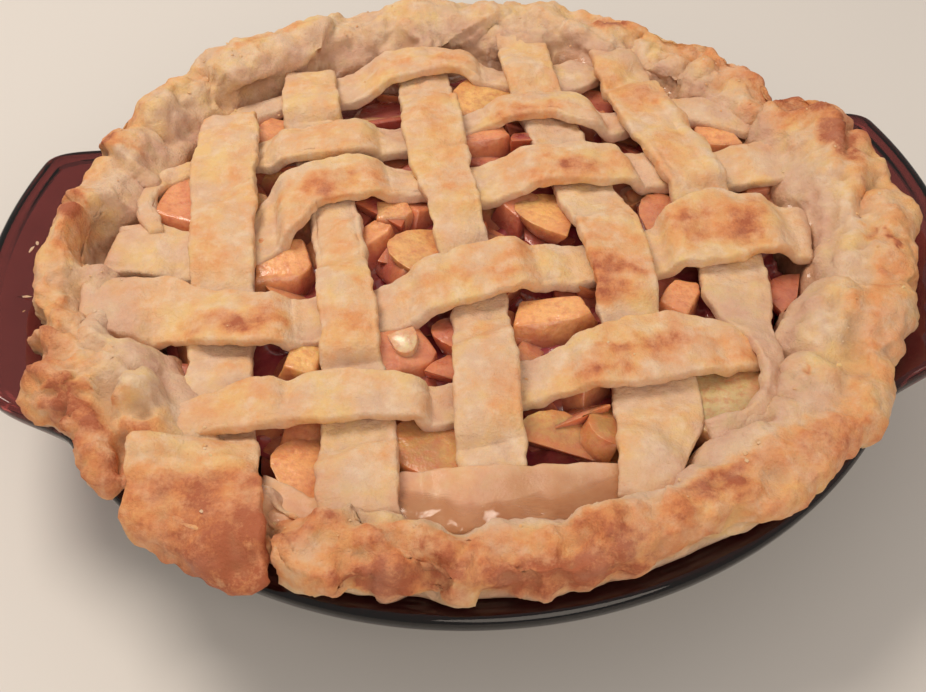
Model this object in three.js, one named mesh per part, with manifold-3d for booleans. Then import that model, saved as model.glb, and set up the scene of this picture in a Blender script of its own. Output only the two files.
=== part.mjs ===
// Apple pie with a woven lattice top, baked in its own smoked-glass pie dish.
// Millimetres, +Z up. The origin is the centre of the dish's flat base, which stands on
// z = 0. The dish's two tab handles lie along X, and the pie's front is at -Y.

import * as THREE from "three";
import { mergeVertices } from "three/addons/utils/BufferGeometryUtils.js";
import Module from "manifold-3d";

const wasm = await Module();
wasm.setup();

// Driving dimensions of the glass dish
const BASE_RADIUS = 92;
const FLOOR_THICKNESS = 5;
const RIM_RADIUS = 131.5;
const RIM_TOP = 46.4;
const BEAD_TOP = 47.6;
const BEAD_WIDTH = 5;
const FLANGE_THICKNESS = 4.6;
const FLANGE_START = 115;
const HANDLE_REACH = 147.5;
const HANDLE_RISE = 6;
const HANDLE_FULL_ANGLE = 20;
const HANDLE_END_ANGLE = 30.5;

// Driving dimensions of the crust
const GAP = 0.35;
const CRUST_THICKNESS = 4;
const CRUST_RADIUS = 127;
const CREST_HEIGHT = 62;
const OPENING_RADIUS = 105;
const WIDEST_HEIGHT = 55.5;
const LOBE_SLANT = 5;
const RIM_CRAGS = 0.9;
const CRUST_ANGLE_STEP = 4;
const FLAP_REACH = 134.5;
const FLAP_BED_ANGLE = -125;
const FLAP_BED_DROP = 3;
const FOOD_TURN = -1.6;

// Driving dimensions of the lattice
const DOME_TOP = 59.5;
const DOME_DROP = 4.5;
const DOME_RADIUS = 95;
const DOME_EDGE = 1.35;
const STRIP_THICKNESS = 4.8;
const STRIP_EDGE_LIP = 0.3;
const STRIP_FLAT_SHARE = 0.52;
const WEAVE_RISE = 2.7;
const WEAVE_HOLD = 4;
const WEAVE_REACH = 11;
const STATION_STEP = 8;
const ROOM_ABOVE = 6;
const FLAP_START = -80;
const FLAP_CLEARANCE = 1.8;
const CURL_START = 0.74;
const CURL_FULL = 0.86;
const CURL_ROLL = 62;
const CURL_LIFT = 2;

// Driving dimensions of the filling
const FILLING_DROP = 9.5;
const SLICE_THICKNESS = 11;
const CORE_ANGLE_STEP = 9;

// Pinched lobes round the crust's rim: angle and half width in degrees, then how far each
// stands out and up in millimetres
const RIM_LOBES = [
  [-172, 7, 2.5, 1.5],
  [-158, 8, 5.5, 3],
  [-141, 9, 5.5, 2],
  [-126, 8, 4.5, 0.5],
  [-112, 8, 4.5, 1],
  [-102, 6, 2.5, 2],
  [-88, 8, 2, 1.5],
  [-71, 8, 0.5, 2.5],
  [-56, 8, 5.5, 1.5],
  [-41, 8, 5, 1],
  [-24, 8, 4, 2],
  [-14, 6, 7.5, 1],
  [-5, 7, 9, 1.5],
  [6, 6, 9, 2.5],
  [18, 6, 7, 3],
  [31, 5, 1, 2],
  [40, 5, 1.5, 2],
  [50, 5, 0.5, 0.5],
  [61, 6, 2, 1],
  [72, 6, 1.5, 1],
  [84, 5, 0, 0.5],
  [97, 6, 1, 1.5],
  [109, 5, 1, 1],
  [119, 6, 2, 2.5],
  [133, 7, 4, 3.5],
  [148, 7, 2.5, 3],
  [160, 5, 0, 2],
  [177, 8, 1.5, 3],
];

// Places where the rim's dough stands further in over the filling: angle and half width in
// degrees, then how far in millimetres
const INNER_LUMPS = [
  [-20, 60, 2],
  [-27, 13, 5],
  [95, 55, 3],
  [-142, 14, 6],
  [-158, 12, 3],
];

// The front of the rim: its crest lies further in on the rim, and lower, and the opening is wider
const FRONT_ANGLE = -86;
const FRONT_HALF_WIDTH = 62;
const FRONT_WIDENING = 4.5;
const FRONT_DROP = 1.8;
const CREST_SHARE = 0.56;
const FRONT_CREST_SHARE = 0.36;

// The low, narrow stretch of the rim at the back right
const LOW_ANGLE = 50;
const LOW_HALF_WIDTH = 32;
const LOW_DROP = 3.5;

// Lattice strips that run from the back to the front: x, y and width along each
const LONG_STRIPS = [
  [[-79, 63, 19], [-78, 50, 21], [-78, 35, 22], [-75, 5, 21], [-73, -22, 20], [-71, -53, 20],
    [-73, -73, 28], [-73, -88, 34], [-71, -104, 35], [-70, -118, 33]],
  [[-53, 87, 18], [-52, 70, 20], [-48, 45, 18], [-41, 6, 16], [-36, -30, 17], [-33, -60, 18],
    [-32, -75, 21], [-30, -106, 22]],
  [[-14, 90, 18], [-13, 76, 19], [-11, 56, 20], [-9, 33, 20], [-5, 13, 17], [-2, -6, 17],
    [2, -32, 17], [3, -69, 19], [4, -98, 19]],
  [[21, 106, 18], [22, 88, 18], [28, 55, 18], [38, 11, 19], [42, -3, 20], [45, -41, 18],
    [49, -70, 25], [45, -88, 19], [40, -104, 12]],
  [[53, 95, 17], [58, 66, 20], [63, 48, 21], [69, 29, 20], [75, 5, 20], [77, -20, 21],
    [77, -34, 19], [80, -46, 14], [82, -57, 10], [80, -68, 10], [73, -75, 10], [66, -79, 9]],
];

// Lattice strips that run from side to side, from the back one to the front one
const CROSS_STRIPS = [
  [[-92, 55, 8], [-73, 69, 9], [-61, 74, 10], [-39, 80, 21], [-27, 88, 20], [-15, 90, 17],
    [-1, 89, 14], [13, 83, 13], [35, 83, 18], [47, 92, 14], [56, 100, 9]],
  [[-101, 21, 8], [-100, 33, 8], [-90, 42, 9], [-67, 43, 15], [-54, 44, 17], [-38, 47, 20],
    [-21, 48, 17], [-1, 54, 11], [12, 57, 13], [29, 60, 15], [44, 53, 15], [58, 56, 11],
    [74, 63, 11], [86, 58, 12], [101, 52, 8]],
  [[-110, 1, 20], [-97, -1, 23], [-84, -5, 22], [-63, 1, 21], [-52, 18, 20], [-31, 23, 20],
    [-14, 22, 15], [3, 20, 19], [23, 26, 20], [42, 26, 21], [62, 28, 19], [79, 28, 19],
    [95, 31, 21], [110, 35, 22]],
  [[-113, -29, 20], [-99, -28, 23], [-78, -34, 21], [-61, -37, 21], [-46, -36, 19],
    [-25, -33, 20], [-3, -25, 22], [20, -19, 19], [40, -16, 18], [56, -12, 21], [74, -5, 31],
    [89, -3, 25], [104, -4, 20]],
  [[-98, -74, 9], [-80, -69, 13], [-63, -66, 16], [-34, -65, 14], [-10, -68, 14],
    [12, -62, 16], [34, -58, 20], [50, -54, 24], [66, -53, 18], [77, -54, 7]],
  [[-58, -96, 17], [-51, -98, 14], [-43, -101, 9], [-33, -100, 14], [-20, -99, 18],
    [5, -100, 20], [20, -99, 19], [38, -96, 14]],
];

// Which way each crossing goes: 1 where the cross strip of that row lies on top of the
// long strip of that column
const CROSS_ON_TOP = [
  [0, 0, 1, 0, 0],
  [0, 1, 0, 1, 0],
  [0, 1, 0, 1, 0],
  [1, 0, 1, 0, 1],
  [1, 1, 0, 1, 1],
  [0, 0, 1, 0, 0],
];

// Apple slices that show through the lattice: x, y, heading and tilt in degrees, length,
// width, and how far the slice's middle lies below the lattice
const SLICES = [
  [-95, 24, 70, 10, 26, 22, 3],
  [-93, 8, 20, -8, 24, 18, 5],
  [-60, 26, 80, 20, 26, 16, 3],
  [-58, -8, -40, 25, 30, 20, 2],
  [-52, -18, 10, -10, 28, 16, 5],
  [-27, 8, 50, 20, 30, 18, 3],
  [-20, -8, 65, -15, 32, 17, 2],
  [-48, -50, 15, 18, 30, 18, 3],
  [-55, -55, -60, -10, 26, 16, 5],
  [-12, -49, -10, 12, 32, 20, 2],
  [-16, -42, 45, -25, 24, 16, 4],
  [25, -36, 12, 14, 34, 20, 1],
  [62, -26, 75, 18, 28, 18, 2],
  [8, 74, 15, 10, 28, 22, 2],
  [9, 41, -20, -14, 26, 16, 4],
  [18, 3, 70, 16, 30, 20, 3],
  [56, 8, 25, 14, 30, 18, 3],
  [84, 44, 35, 12, 28, 20, 2],
  [90, 10, -70, 12, 24, 16, 5],
  [95, -25, -60, 14, 28, 18, 2],
  [68, -62, 30, 30, 26, 18, 1],
  [-44, -86, 40, 16, 28, 18, 2],
  [-13, -82, -12, 20, 30, 18, 2],
  [22, -80, 18, 14, 28, 18, 2],
  [-40, 66, 30, 12, 26, 16, 4],
  [-68, 60, -20, 12, 24, 16, 4],
  [-84, -52, 80, 8, 20, 14, 5],
  [42, 72, -35, 12, 24, 16, 5],
];

const radians = THREE.MathUtils.degToRad;
const lerp = THREE.MathUtils.lerp;

// A smooth hump of height 1 that ends at -1 and 1
function hump(t) {
  const inside = Math.max(0, 1 - t * t);
  return inside * inside * (3 - 2 * inside);
}

// The turn in degrees from one angle to another, from -180 to 180
function turn(from, to) {
  return ((((to - from) % 360) + 540) % 360) - 180;
}

// Shapes

// A closed BufferGeometry from corner points and the triangles between them
function closedGeometry(points, triangles) {
  const geometry = new THREE.BufferGeometry();
  geometry.setAttribute("position", new THREE.Float32BufferAttribute(points.flat(), 3));
  geometry.setIndex(triangles.flat());
  return geometry;
}

// A solid turned round Z whose profile changes with the angle. Each profile starts on the
// axis at the underside, runs round the outside and ends on the axis at the top.
function turnedSolid(angles, profileAt) {
  const points = [];
  const triangles = [];
  const rings = angles.length;
  const inner = profileAt(angles[0]).length - 2;
  for (const angle of angles) {
    const [c, s] = [Math.cos(radians(angle)), Math.sin(radians(angle))];
    for (const [r, z] of profileAt(angle).slice(1, -1)) points.push([r * c, r * s, z]);
  }
  const bottom = points.push([0, 0, profileAt(0)[0][1]]) - 1;
  const top = points.push([0, 0, profileAt(0).at(-1)[1]]) - 1;
  for (let i = 0; i < rings; i++) {
    const here = i * inner;
    const next = ((i + 1) % rings) * inner;
    triangles.push([bottom, next, here]);
    for (let j = 0; j < inner - 1; j++) {
      triangles.push([here + j, next + j, next + j + 1]);
      triangles.push([here + j, next + j + 1, here + j + 1]);
    }
    triangles.push([here + inner - 1, next + inner - 1, top]);
  }
  return closedGeometry(points, triangles);
}

// A solid from closed sections one after the other, with a flat cap at each end
function loftedSolid(sections) {
  const count = sections[0].length;
  const points = sections.flat();
  const triangles = [];
  for (let i = 0; i < sections.length - 1; i++) {
    for (let j = 0; j < count; j++) {
      const a = i * count + j;
      const b = i * count + ((j + 1) % count);
      triangles.push([a, b, b + count], [a, b + count, a + count]);
    }
  }
  const last = (sections.length - 1) * count;
  for (let j = 1; j < count - 1; j++) {
    triangles.push([0, j + 1, j], [last, last + j, last + j + 1]);
  }
  return closedGeometry(points, triangles);
}

// The solid that a geometry bounds
function solidOf(geometry) {
  const bare = geometry.clone();
  bare.deleteAttribute("normal");
  bare.deleteAttribute("uv");
  const merged = mergeVertices(bare, 1e-4);
  return new wasm.Manifold(new wasm.Mesh({
    numProp: 3,
    vertProperties: merged.attributes.position.array,
    triVerts: new Uint32Array(merged.index.array),
  }));
}

// The largest single body of a solid, as a geometry: loose scraps are dropped
function largestBody(solid) {
  const bodies = solid.decompose().sort((a, b) => b.volume() - a.volume());
  const mesh = bodies[0].getMesh();
  const geometry = new THREE.BufferGeometry();
  geometry.setAttribute("position", new THREE.BufferAttribute(mesh.vertProperties, 3));
  geometry.setIndex(new THREE.BufferAttribute(mesh.triVerts, 1));
  return geometry;
}

// The dish

// How far the dish reaches at an angle: a round rim with a wide tab handle at each side
function dishReach(angle) {
  const fromHandle = Math.min(Math.abs(turn(0, angle)), Math.abs(turn(180, angle)));
  const fall = THREE.MathUtils.smoothstep(fromHandle, HANDLE_FULL_ANGLE, HANDLE_END_ANGLE);
  return lerp(HANDLE_REACH, RIM_RADIUS, fall);
}

// Angles every seven and a half degrees, with closer ones where the handles' corners turn
function dishAngles() {
  const angles = new Set();
  for (let angle = 0; angle < 360; angle += 7.5) angles.add(angle);
  for (const handle of [0, 180]) {
    for (const side of [-1, 1]) {
      for (let from = 20; from <= 31; from += 2.2) {
        angles.add((handle + side * from + 360) % 360);
      }
    }
  }
  return [...angles].sort((a, b) => a - b);
}

function makeDish() {
  const under = RIM_TOP - FLANGE_THICKNESS;
  return turnedSolid(dishAngles(), (angle) => {
    const reach = dishReach(angle);
    const rise = HANDLE_RISE * (reach - RIM_RADIUS) / (HANDLE_REACH - RIM_RADIUS);
    return [
      [0, 0],
      [BASE_RADIUS, 0],
      [BASE_RADIUS + 4.5, 3],
      [FLANGE_START + 1, under - 3.5],
      [FLANGE_START + 4, under],
      [RIM_RADIUS - BEAD_WIDTH - 1, under],
      [reach - BEAD_WIDTH, under + rise],
      [reach - 1.2, under - 0.6 + rise],
      [reach, BEAD_TOP - 1.8 + rise],
      [reach - 2, BEAD_TOP + rise],
      [reach - BEAD_WIDTH, RIM_TOP + rise],
      [RIM_RADIUS - BEAD_WIDTH - 1, RIM_TOP],
      [FLANGE_START, RIM_TOP],
      [FLANGE_START - 4, RIM_TOP - 4.5],
      [BASE_RADIUS + 1, FLOOR_THICKNESS + 3.5],
      [BASE_RADIUS - 4, FLOOR_THICKNESS],
      [0, FLOOR_THICKNESS],
    ];
  });
}

// The crust

// How far the rim's lobes stand out and up at an angle
function rimLobes(angle) {
  let out = 0;
  let up = 0;
  for (const [middle, halfWidth, lobeOut, lobeUp] of RIM_LOBES) {
    const share = hump(turn(middle, angle) / (1.35 * halfWidth));
    out = Math.max(out, lobeOut * share);
    up = Math.max(up, lobeUp * share);
  }
  return { out, up };
}

// How much an angle belongs to the front of the rim, from 0 to 1
function frontShare(angle) {
  return hump(turn(FRONT_ANGLE, angle) / FRONT_HALF_WIDTH);
}

// The radius where the crust's inner slope meets the lattice
function openingRadius(angle) {
  let radius = OPENING_RADIUS + FRONT_WIDENING * frontShare(angle);
  for (const [middle, halfWidth, inwards] of INNER_LUMPS) {
    radius -= inwards * hump(turn(middle, angle) / halfWidth);
  }
  return radius;
}

// The crust's section at an angle, from the underside's middle, out under the rim, over its
// crest and down the inner wall to the floor's middle. swell moves every face outwards.
function crustProfile(angle, swell = 0) {
  const outer = rimLobes(angle - LOBE_SLANT);
  const crest = rimLobes(angle);
  const inner = rimLobes(angle + LOBE_SLANT);
  const crag = (row) => RIM_CRAGS * Math.sin(radians(angle * (17 + 4 * row) + 70 * row));
  const low = LOW_DROP * hump(turn(LOW_ANGLE, angle) / LOW_HALF_WIDTH);
  const reach = CRUST_RADIUS + outer.out + 0.5 * crag(1) - low;
  const opening = openingRadius(angle) + crag(2);
  const front = frontShare(angle);
  const crestRadius = lerp(opening, reach, lerp(CREST_SHARE, FRONT_CREST_SHARE, front));
  const flapBed = FLAP_BED_DROP * hump(turn(FLAP_BED_ANGLE, angle) / 17);
  const dip = flapBed + low + FRONT_DROP * front;
  const crestHeight = CREST_HEIGHT + crest.up + 0.6 * crag(3) - dip;
  const floorTop = FLOOR_THICKNESS + GAP + CRUST_THICKNESS;
  const profile = [
    [0, FLOOR_THICKNESS + GAP],
    [BASE_RADIUS - 4.4, FLOOR_THICKNESS + GAP],
    [BASE_RADIUS + 0.4, FLOOR_THICKNESS + 3.7],
    [FLANGE_START - 4.5, RIM_TOP - 4.2],
    [FLANGE_START - 0.4, RIM_TOP + GAP + 0.1],
    [RIM_RADIUS - BEAD_WIDTH - 2.5, RIM_TOP + GAP + 0.1],
    [Math.min(128, reach - 2), BEAD_TOP + 1],
    [reach - 0.7, WIDEST_HEIGHT - 3.3],
    [reach, WIDEST_HEIGHT],
    [reach - 1.6, WIDEST_HEIGHT + 3.6 + 0.5 * outer.up],
    [lerp(crestRadius, reach, 0.55), crestHeight - 1.2],
    [crestRadius, crestHeight],
    [lerp(opening, crestRadius, 0.55), crestHeight - 1.4 + 0.5 * inner.up - 0.5 * crest.up],
    [lerp(opening, crestRadius, 0.2), 57 + 0.4 * inner.up],
    [opening - 1, 53],
    [opening - 4, 46],
    [BASE_RADIUS - 1, FLOOR_THICKNESS + 9],
    [BASE_RADIUS - 7, floorTop],
    [0, floorTop],
  ];
  if (swell === 0) return profile;
  return profile.map(([r, z], i) => {
    const before = profile[Math.max(0, i - 1)];
    const after = profile[Math.min(profile.length - 1, i + 1)];
    const along = new THREE.Vector2(after[0] - before[0], after[1] - before[1]).normalize();
    const outwards = r === 0 ? 0 : along.y * swell;
    return [r + outwards, z - along.x * swell];
  });
}

// The height of the crust's upper face over a point, for the dough that is laid over it.
// Past the rim's edge it falls away, as that dough does.
function crustTopHeight(x, y) {
  const radius = Math.hypot(x, y);
  const upper = crustProfile(THREE.MathUtils.radToDeg(Math.atan2(y, x))).slice(8, 15).reverse();
  for (let i = 0; i < upper.length - 1; i++) {
    const [[r0, z0], [r1, z1]] = [upper[i], upper[i + 1]];
    if (radius >= r0 && radius < r1) return lerp(z0, z1, (radius - r0) / (r1 - r0));
  }
  const [edgeRadius, edgeHeight] = upper.at(-1);
  return radius < upper[0][0] ? upper[0][1] : edgeHeight - 1.5 * (radius - edgeRadius);
}

function makeCrust(swell) {
  const angles = [];
  for (let angle = 0; angle < 360; angle += CRUST_ANGLE_STEP) angles.push(angle);
  return turnedSolid(angles, (angle) => crustProfile(angle, swell));
}

// The lattice

function domeHeight(x, y) {
  const share = (x * x + y * y) / (DOME_RADIUS * DOME_RADIUS);
  return DOME_TOP - DOME_DROP * Math.min(share, DOME_EDGE);
}

// The middle line of a strip, with its width, at even steps
function stripStations(rows) {
  const middle = new THREE.CatmullRomCurve3(rows.map(([x, y]) => new THREE.Vector3(x, y, 0)));
  const widths = new THREE.CatmullRomCurve3(rows.map(([, , w], i) => new THREE.Vector3(i, w, 0)));
  const steps = Math.ceil(middle.getLength() / STATION_STEP);
  const stations = [];
  for (let i = 0; i <= steps; i++) {
    const t = middle.getUtoTmapping(i / steps, 0);
    const place = middle.getPoint(t);
    const along = middle.getTangent(t);
    stations.push({ x: place.x, y: place.y, width: widths.getPoint(t).y, along, share: i / steps });
  }
  return stations;
}

const longStations = LONG_STRIPS.map(stripStations);
const crossStations = CROSS_STRIPS.map(stripStations);

// How much a point belongs to a strip's band: 1 inside its width, 0 past the weave's reach
function bandShare(stations, x, y) {
  let nearest = Infinity;
  for (let i = 0; i < stations.length - 1; i++) {
    const [a, b] = [stations[i], stations[i + 1]];
    const [dx, dy] = [b.x - a.x, b.y - a.y];
    const t = THREE.MathUtils.clamp(((x - a.x) * dx + (y - a.y) * dy) / (dx * dx + dy * dy), 0, 1);
    const away = Math.hypot(x - a.x - t * dx, y - a.y - t * dy) - lerp(a.width, b.width, t) / 2;
    nearest = Math.min(nearest, away);
  }
  return 1 - THREE.MathUtils.smoothstep(nearest, WEAVE_HOLD, WEAVE_REACH);
}

// How far the weave lifts or sinks a strip at a point, from the strips that cross it
function weaveRise(isCross, index, x, y) {
  const others = isCross ? longStations : crossStations;
  let rise = 0;
  others.forEach((stations, other) => {
    const crossOnTop = isCross ? CROSS_ON_TOP[index][other] : CROSS_ON_TOP[other][index];
    const side = Boolean(crossOnTop) === isCross ? 1 : -1;
    const share = bandShare(stations, x, y);
    if (share > Math.abs(rise)) rise = side * share;
  });
  return rise * WEAVE_RISE;
}

// The section of a strip across its width: flat underside, rounded over to its edges.
// With swell it is the plain box of room that the strip takes, open to above it.
function stripSection(width, swell) {
  const half = width / 2 + swell;
  const bottom = -STRIP_THICKNESS / 2 - swell;
  const top = STRIP_THICKNESS / 2;
  if (swell > 0) {
    const clear = top + ROOM_ABOVE;
    return [[-half, bottom], [half, bottom], [half, clear], [-half, clear]];
  }
  return [
    [-half + STRIP_EDGE_LIP, bottom],
    [half - STRIP_EDGE_LIP, bottom],
    [half, STRIP_EDGE_LIP],
    [half * STRIP_FLAT_SHARE, top],
    [-half * STRIP_FLAT_SHARE, top],
    [-half, STRIP_EDGE_LIP],
  ];
}

// One strip of dough. The first long strip ends as a flap laid over the rim, and the last
// one turns on its edge and curls round a slice of apple.
function makeStrip(isCross, index, swell = 0) {
  const stations = (isCross ? crossStations : longStations)[index];
  const isFlap = !isCross && index === 0;
  const isCurl = !isCross && index === LONG_STRIPS.length - 1;
  return loftedSolid(stations.map(({ x, y, width, along, share }) => {
    const across = new THREE.Vector2(-along.y, along.x).normalize();
    const curl = isCurl ? THREE.MathUtils.smoothstep(share, CURL_START, CURL_FULL) : 0;
    const roll = radians(CURL_ROLL) * curl;
    return stripSection(width, swell).map(([a, b]) => {
      const sideways = a * Math.cos(roll) + b * Math.sin(roll);
      const upwards = b * Math.cos(roll) - a * Math.sin(roll);
      const bed = THREE.MathUtils.clamp(a, STRIP_EDGE_LIP - width / 2, width / 2 - STRIP_EDGE_LIP);
      const [bedX, bedY] = [x + bed * across.x, y + bed * across.y];
      const lift = (1 - curl) * weaveRise(isCross, index, bedX, bedY) + CURL_LIFT * curl;
      let height = domeHeight(bedX, bedY) + lift;
      let px = x + sideways * across.x;
      let py = y + sideways * across.y;
      if (isFlap && py < FLAP_START) {
        const pull = Math.min(1, FLAP_REACH / Math.hypot(px, py));
        [px, py] = [px * pull, py * pull];
        const onRim = crustTopHeight(px, py) + STRIP_THICKNESS / 2 + FLAP_CLEARANCE;
        height = Math.max(height, onRim);
      }
      return [px, py, height + upwards];
    });
  }));
}

// The filling

// The core: cooked apple that fills the crust up to just below the lattice
function makeFillingCore() {
  const angles = [];
  for (let angle = 0; angle < 360; angle += CORE_ANGLE_STEP) angles.push(angle);
  const bottom = FLOOR_THICKNESS + 2 * GAP + CRUST_THICKNESS;
  return turnedSolid(angles, (angle) => {
    const opening = openingRadius(angle) - 2 - GAP;
    const profile = [
      [0, bottom],
      [BASE_RADIUS - 9, bottom],
      [BASE_RADIUS - 2, FLOOR_THICKNESS + 10],
      [opening - 3.5, 45],
    ];
    for (const share of [1, 0.85, 0.6, 0.3, 0]) {
      const radius = opening * share - (share === 1 ? 3 : 0);
      profile.push([Math.max(0, radius), domeHeight(radius, 0) - FILLING_DROP]);
    }
    return profile;
  });
}

// One slice of apple: a half moon with a straight core side
function makeSlice([x, y, heading, tilt, length, width, depth]) {
  const outline = new THREE.Shape();
  outline.moveTo(-length / 2, -width * 0.35);
  outline.lineTo(length / 2, -width * 0.35);
  outline.lineTo(length * 0.4, width * 0.3);
  outline.lineTo(0, width * 0.62);
  outline.lineTo(-length * 0.42, width * 0.25);
  const slice = new THREE.ExtrudeGeometry(outline, { depth: SLICE_THICKNESS, bevelEnabled: false });
  slice.translate(0, 0, -SLICE_THICKNESS);
  slice.rotateX(radians(tilt));
  slice.rotateY(radians(tilt * 0.6));
  slice.rotateZ(radians(heading));
  slice.translate(x, y, domeHeight(x, y) - depth);
  return slice;
}

// Putting it together

const glass = new THREE.MeshStandardMaterial({ color: 0x3c1a1e, roughness: 0.08, metalness: 0 });
const apple = new THREE.MeshStandardMaterial({ color: 0xd09048, roughness: 0.35, metalness: 0 });
const rimDough = new THREE.MeshStandardMaterial({ color: 0xdba263, roughness: 0.7, metalness: 0 });
const stripDough = new THREE.MeshStandardMaterial({ color: 0xe9c893, roughness: 0.65, metalness: 0 });

const pie = new THREE.Group();
const food = new THREE.Group();
food.rotation.z = radians(FOOD_TURN);
pie.add(food);

function addPart(group, name, geometry, material) {
  const mesh = new THREE.Mesh(geometry, material);
  mesh.name = name;
  group.add(mesh);
}

const crustRoom = solidOf(makeCrust(GAP));
const strips = [];
for (const isCross of [false, true]) {
  (isCross ? CROSS_STRIPS : LONG_STRIPS).forEach((rows, index) => {
    const name = `strip_${isCross ? "cross" : "long"}_${index + 1}`;
    strips.push({ isCross, index, name, room: solidOf(makeStrip(isCross, index, GAP)) });
  });
}

// Whether a strip passes under another one
function passesUnder(strip, other) {
  if (strip.isCross === other.isCross) return strip.name === "strip_long_5" && other.name === "strip_long_4";
  const [row, column] = strip.isCross ? [strip.index, other.index] : [other.index, strip.index];
  return Boolean(CROSS_ON_TOP[row][column]) !== strip.isCross;
}

// A strip gives way to the crust and to each strip that it passes under
function fittedStrip(strip) {
  let solid = solidOf(makeStrip(strip.isCross, strip.index)).subtract(crustRoom);
  for (const other of strips) {
    if (other !== strip && passesUnder(strip, other)) solid = solid.subtract(other.room);
  }
  return largestBody(solid);
}

// The core with the slices fused on, which gives way to the crust and to every strip
function fittedFilling() {
  let solid = solidOf(makeFillingCore());
  for (const row of SLICES) solid = solid.add(solidOf(makeSlice(row)));
  solid = solid.subtract(crustRoom);
  for (const strip of strips) solid = solid.subtract(strip.room);
  return largestBody(solid);
}

addPart(pie, "dish", makeDish(), glass);
addPart(food, "crust", makeCrust(0), rimDough);
for (const strip of strips) addPart(food, strip.name, fittedStrip(strip), stripDough);
addPart(food, "filling", fittedFilling(), apple);

export default pie;
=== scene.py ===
"""Dresses the apple pie: pinched crust, woven lattice, apple slices in syrup, smoked-glass dish.

Sizes are in millimetres in the code and in metres in the meshes. Food is laid out in the
photograph's own frame and turned by FOOD_TURN when it is set into the dish.
"""
import math
import random
from contextlib import contextmanager

import bpy
import numpy as np
from mathutils import Matrix, Vector
from mathutils.bvhtree import BVHTree


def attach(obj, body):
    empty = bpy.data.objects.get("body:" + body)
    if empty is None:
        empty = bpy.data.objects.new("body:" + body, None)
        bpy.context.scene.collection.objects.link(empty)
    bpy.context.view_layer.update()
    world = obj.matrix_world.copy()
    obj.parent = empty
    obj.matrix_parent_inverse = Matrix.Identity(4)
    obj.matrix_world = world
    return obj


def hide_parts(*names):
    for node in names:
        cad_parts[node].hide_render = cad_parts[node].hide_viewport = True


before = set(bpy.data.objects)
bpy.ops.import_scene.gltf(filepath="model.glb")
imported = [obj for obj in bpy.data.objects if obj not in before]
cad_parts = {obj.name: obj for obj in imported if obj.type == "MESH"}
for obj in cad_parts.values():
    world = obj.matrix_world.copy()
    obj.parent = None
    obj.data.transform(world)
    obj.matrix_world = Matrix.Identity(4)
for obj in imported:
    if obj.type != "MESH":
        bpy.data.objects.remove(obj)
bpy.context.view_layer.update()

MM = 0.001
MERGE_DISTANCE = 1e-6
FOOD_TURN = math.radians(-1.6)

# The camera, in millimetres and degrees in the food's frame
CAMERA_PLACE = (-3.0, -299.4, 317.7)
CAMERA_DOWN = 46.1
CAMERA_ROLL = -1.95
CAMERA_LENS = 50.54
SENSOR_WIDTH = 36.0

# The glass dish
BASE_RADIUS = 92.0
FLOOR_THICKNESS = 5.0
RIM_RADIUS = 131.5
RIM_TOP = 46.4
BEAD_TOP = 47.6
BEAD_START = RIM_RADIUS - 5.0
FLANGE_THICKNESS = 4.6
FLANGE_START = 115.0
HANDLE_REACH = 147.5
HANDLE_RISE = 6.0
HANDLE_FULL_ANGLE = 20.0
HANDLE_END_ANGLE = 30.5
DISH_STEPS = 540
DISH_CORNER = 1.6
DISH_FACE = 14.0

# The crust
GAP = 0.35
CRUST_THICKNESS = 4.0
CRUST_RADIUS = 127.0
CREST_HEIGHT = 62.0
OPENING_RADIUS = 105.0
WIDEST_HEIGHT = 55.5
LOBE_SLANT = 5.0
FRONT_WIDENING = 4.5
FRONT_DROP = 1.8
CRUST_STEPS = 900
LOOSE_FOLDS = 110
FOLD_SEED = 31

# Humps round the rim: angle and half width in degrees, then how large each is
FRONT = [(-86.0, 62.0, 1.0)]
LOW_STRETCH = [(50.0, 32.0, 3.5)]
FLAP_BED = [(-125.0, 17, 3.0)]
RIM_NOTCHES = [(-100, 6, 4.5), (-114.5, 4.5, 4.0), (-88.5, 3.5, 2.2)]
OPENING_NARROWED = [(-20, 60, 2), (-27, 13, 5), (95, 55, 3), (-142, 14, 6), (-158, 12, 3)]

# The lattice
DOME_TOP = 59.5
DOME_DROP = 4.5
DOME_RADIUS = 95.0
DOME_EDGE = 1.35
STRIP_THICKNESS = 3.7
STRIP_CORNER = 1.15
STRIP_STEP = 0.9
SHEET_POINTS = 21
WEAVE_STEP = 4.0
WEAVE_RISE = 2.4
WEAVE_HOLD = 4.0
WEAVE_REACH = 11.0
FLAP_START = -80.0
FLAP_REACH = 134.5
FLAP_DROP = 5.0
CURL_START = 0.68
CURL_FULL = 0.8
CURL_ROLL = 24.0
CURL_LIFT = 3.2
DRAPE_LENGTH = 26.0
DRAPE_RISE = 3.0

# The filling
BED_DEPTH = 9.6
BED_STEPS = 300
HEAP_RADIUS = 96.0
PIECE_THICKNESS = 11.0
HIDDEN_PIECES = 120
PALEST_TONE = 1.2
SLICE_SEED = 7
POOL_SIZE = (35, 8, 1.7)
POOL_PLACE = (4, -103.5, 54.3)
SPARKLES_PLACE = (12, -106)
SPARKLES_REACH = (12, 7)
CRUMBS = 130
CRUMB_SEED = 19
LOWEST_CRUMB = 46.0
ABOVE_ALL = 90.0

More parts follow.
